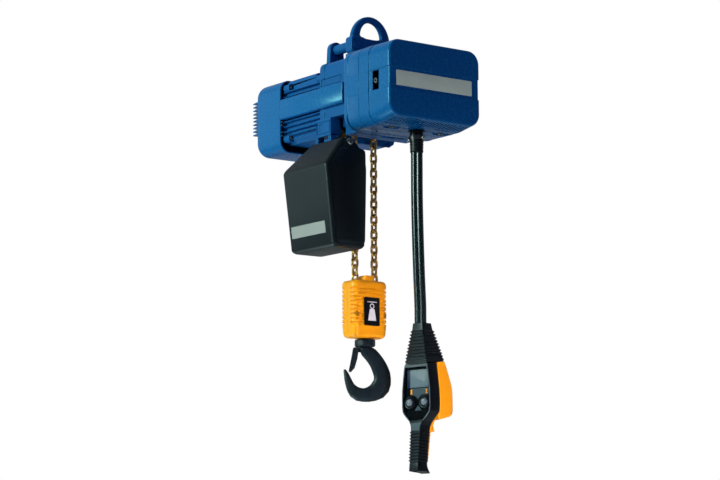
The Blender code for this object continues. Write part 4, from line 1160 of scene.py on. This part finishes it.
def make_pendant_front():
    rings = []
    heights = [row[0] for row in FRONT_ROWS]
    for z in sorted({-81.4 - 3.2 * k for k in range(44)} | set(heights), reverse=True):
        if z > -217:
            rings.append(pendant_ring(z, *blend_rows(FRONT_ROWS, z)))
    for k in range(10):
        top = -217 - k * 6.2
        for drop, grow in ((0, 0), (0.7, 1.2), (3.0, 1.2), (3.7, 0), (5.2, -0.5)):
            half, front, back, radius = blend_rows(FRONT_ROWS, top - drop)
            rings.append(pendant_ring(top - drop, half + grow, front - grow, back, radius))
    for z in (-281, -286, -291, -296):
        rings.append(pendant_ring(z, *blend_rows(FRONT_ROWS, z)))
    rings.append([Vector((p.x, p.y, -289 - (p.y + 25) * 0.29)) for p in pendant_ring(-300, 13.4, -24.6, 12, 4)])
    shell = loft(rings)
    recess = prism(rim_outline(1.7, 5.0), "Y", -26, -8)
    shape = carve(shell, cuts=[
        recess, slab(-29, -172, 29, -92, 3, "Y", -3, 30),
        *[rod("Y", (side * KNOB_X, -12, KNOB_Z), 20, 6, 24) for side in (-1, 1)],
    ])
    pendant_piece("pendant_case", shape, "black", ["pendant_front"], "black_plastic", edge=0.6,
          angle=50, smooth=38)
    # The rim is drawn lighter than its blue-grey: a painted highlight along its edges
    rim = carve(prism(rim_outline(0), "Y", -15.7, -13.4), cuts=[prism(rim_outline(1.6, 4.9), "Y", -17, -10)])
    pendant_piece("pendant_rim", rim, "rim", edge=0.35)
    # A thin sheet on the handle's black front: painted sheen, standing in for the reflection of the light there
    handle_sheen = []
    for z in (-200, -206, -215):
        half, front, _, _ = blend_rows(FRONT_ROWS, z)
        width, face = half - 3, front - 0.25
        handle_sheen.append([Vector((x, y, z)) for x, y in (
            (-width, face), (width, face), (width, face + 1.25), (-width, face + 1.25),
        )])
    pendant_piece("handle_painted_sheen", loft(handle_sheen), "slate")


def make_pendant_face():
    plate = carve(prism(rim_outline(2.1, 5.4), "Y", -8.3, -6.4), cuts=[
        rod("Y", (side * KNOB_X, -14, KNOB_Z), 20, 9, 24) for side in (-1, 1)
    ])
    profile = [(9.4, 2), (9.4, -3.4), (10.2, -4.4), (12, -4.6), (13.2, -3.4), (13.6, 2)]
    collars = [lathe("Y", (side * KNOB_X, -9.4, KNOB_Z), profile, 36) for side in (-1, 1)]
    pendant_piece("pendant_plate", plate, "face", ["face_plate"], "grey_plastic")
    pendant_piece("key_collars", gathered(collars), "black", smooth=50)
    window = slab(-28.6, -129, 29, -93.5, 2, "Y", -9.6, -7.8, edge=0.5)
    pendant_piece("pendant_display", window, "display", slot="grey_plastic")
    edge = slab(-28.8, -129.2, -20.5, -93.3, 1.2, "Y", -9.9, -8.2, edge=0.3)
    pendant_piece("display_strip", edge, "display_dark")
    strip = [
        (-20, -130.6), (31.5, -130.6), (33, -144.2), (11, -144.2), (5, -148), (0, -153), (-5, -148), (-11, -144.2),
        (-20, -144.2),
    ]
    pendant_piece("pendant_panel", prism(strip, "Y", -9.4, -8), "slate", edge=0.2)
    lower = [(-9, -175), (-5.5, -170.4), (0, -165.5), (5.5, -170.4), (9, -175)]
    pendant_piece("pendant_ridge", prism(lower, "Y", -9.4, -8), "slate")
    for name, x in (("left", -17.6), ("right", 24)):
        arrows = []
        for flip in (1, -1):
            z = -137.4 + flip * 4.3
            arrows.append(prism([(x - 3.6, z), (x + 3.6, z), (x + 1.5, z - flip * 1.2), (x + 0.6, z - flip * 3.9),
                                 (x - 0.6, z - flip * 3.9), (x - 1.5, z - flip * 1.2)], "Y", -9.8, -9.2))
        bar = box((x - 1.4, -9.8, -138.8), (x + 1.4, -9.2, -136))
        pendant_piece(f"arrow_{name}", gathered([*arrows, bar]), "arrow")


REAR_ROWS = (
    (-81.4, 31, 15.5, 37.4, 4), (-92, 32.4, 15.5, 43, 4.5), (-105, 33.6, 15.5, 48.4, 5), (-120, 35, 15.5, 53.4, 6),
    (-132, 35.6, 15.5, 56.2, 6), (-150, 35.8, 15.5, 57, 6), (-176, 35.8, 15.5, 57, 6), (-186, 35.4, 15.5, 56.4, 6),
    (-191, 34.6, 15.5, 54.6, 6), (-194.4, 33, 15.5, 50, 5),
)


def make_pendant_rear():
    rings = []
    for row in REAR_ROWS:
        raised = 1 if row[0] > -82 else (0.5 if row[0] > -93 else 0)
        ring = [seam_raised(p, raised) for p in pendant_ring(*row)]
        if row[0] < -170:
            share = min(1, (-170 - row[0]) / 24)
            ring = [Vector((p.x, p.y, p.z + (p.y - 15) * 0.24 * share)) for p in ring]
        rings.append(ring)
    guard = [
        (18, -184), (42, -180), (37, -189), (29, -196), (25.2, -203), (26.4, -209.5), (30, -215.8), (22, -215.6),
        (17.5, -218), (8.8, -277), (4.9, -279), (13.1, -207), (16.5, -196),
    ]
    scallops = [rod("X", (-12, 17.6 - (-218 - z) * -8.7 / 59 + 1.0, z), 24, 2.0, 16)
                for z in [-222 - 5.9 * k for k in range(10)]]
    strip = carve(prism(guard, "X", -9, 9), cuts=scallops)
    shape = carve(loft(rings), [strip], [box((-27.6, 10, -172), (27.6, 34, -90))])
    pendant_piece("pendant_back", shape, "yellow", ["pendant_rear"], "yellow_plastic", edge=0.6, angle=45,
          smooth=38)


KEY_STATIONS = (
    (-18.3, 2), (-17.9, 4), (-17.1, 5.6), (-15.8, 6.7), (-14.4, 7.2), (-11.4, 7.2), (-11, 6.7), (-11, 3.5),
    (-3.6, 3.5),
)


def make_keys():
    for name, side in (("left", -1), ("right", 1)):
        x = side * KNOB_X
        rings = [circle("Y", (x, y, KNOB_Z), radius) for y, radius in KEY_STATIONS]
        pendant_piece(f"key_{name}", loft(rings), "key", [f"knob_{name}"], "zinc", f"{name}_key")


def make_gland():
    x, y = CABLE_TOP.x, CABLE_TOP.y
    gland = lathe("Z", (x, y, 0), [
        (12.2, -77), (12.2, -86.2), (17, -86.2), (17, -88.6), (16, -89.2), (13.6, -89.4), (13.4, -92.4),
        (12.6, -92.8), (7, -92.6), (7, -77),
    ])
    piece("gland", gland, "black", "hoist", ["cable_gland"], "black_plastic", smooth=40)
    profile = [(12.4, -92.9), (14.2, -92.9)]
    for k in range(4):
        z, ridge, groove = -110 - 4.6 * k, 14.1 - 0.15 * k, 13.2 - 0.15 * k
        profile += [(ridge, z), (groove, z - 0.8), (groove, z - 1.8), (ridge, z - 2.6)]
    profile += [(13.4, -129.6), (12.9, -130.9), (12.3, -130.9)]
    sleeve = lathe("Z", (x, y, 0), profile, 36)
    piece("gland_sleeve", sleeve, "rubber", "hoist", ["cable_sleeve"], "rubber", smooth=40)
    band = lathe("Z", (x, y, -101), [(14.4, -4), (15.4, -4), (15.4, 4), (14.4, 4)], 48)
    piece("clamp_band", band, "clamp", "hoist", slot="zinc", smooth=40)
    parts = []
    for turn in (0.35, pi + 0.35):
        out = Vector((cos(turn) * 15.5, sin(turn) * 15.5, 0))
        ear = slab(-3.5, -3.6, 3.5, 3.6, 1, "Z", -105.4, -96.6, edge=0.6)
        parts.append(moved(ear, Matrix.Translation((x + out.x, y + out.y, 0)) @ Matrix.Rotation(turn, 4, "Z")))
        parts.append(rod("Y", (x + out.x, y + out.y - 7, -101), 14, 2.4, 20, edge=0.5))
    piece("clamp", gathered(parts), "zinc", "hoist", ["hose_clamp"], "zinc", smooth=40)


def finish_kept_nodes():
    for finish, nodes in KEPT_NODES.items():
        for node in nodes:
            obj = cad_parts[node]
            obj.data.materials.clear()
            obj.data.materials.append(FINISHES[finish])


make_camera()
make_cable()
make_lights()
make_world()
make_floor("lit_floor", 0.0, False)
make_floor("pale_floor", 0.55, True)
bpy.context.scene.view_settings.view_transform = "Standard"
finish_kept_nodes()
for make in (
    make_front_cover, make_cover_screws, make_gear_housing, make_chain_housing, make_bracket, make_motor, make_cowl,
    make_duct, make_chain, make_chain_guide, make_bucket_bracket, make_bucket, make_block, make_hook, make_latch,
    make_sleeve, make_pendant_front, make_pendant_face, make_pendant_rear, make_keys, make_gland,
):
    make()
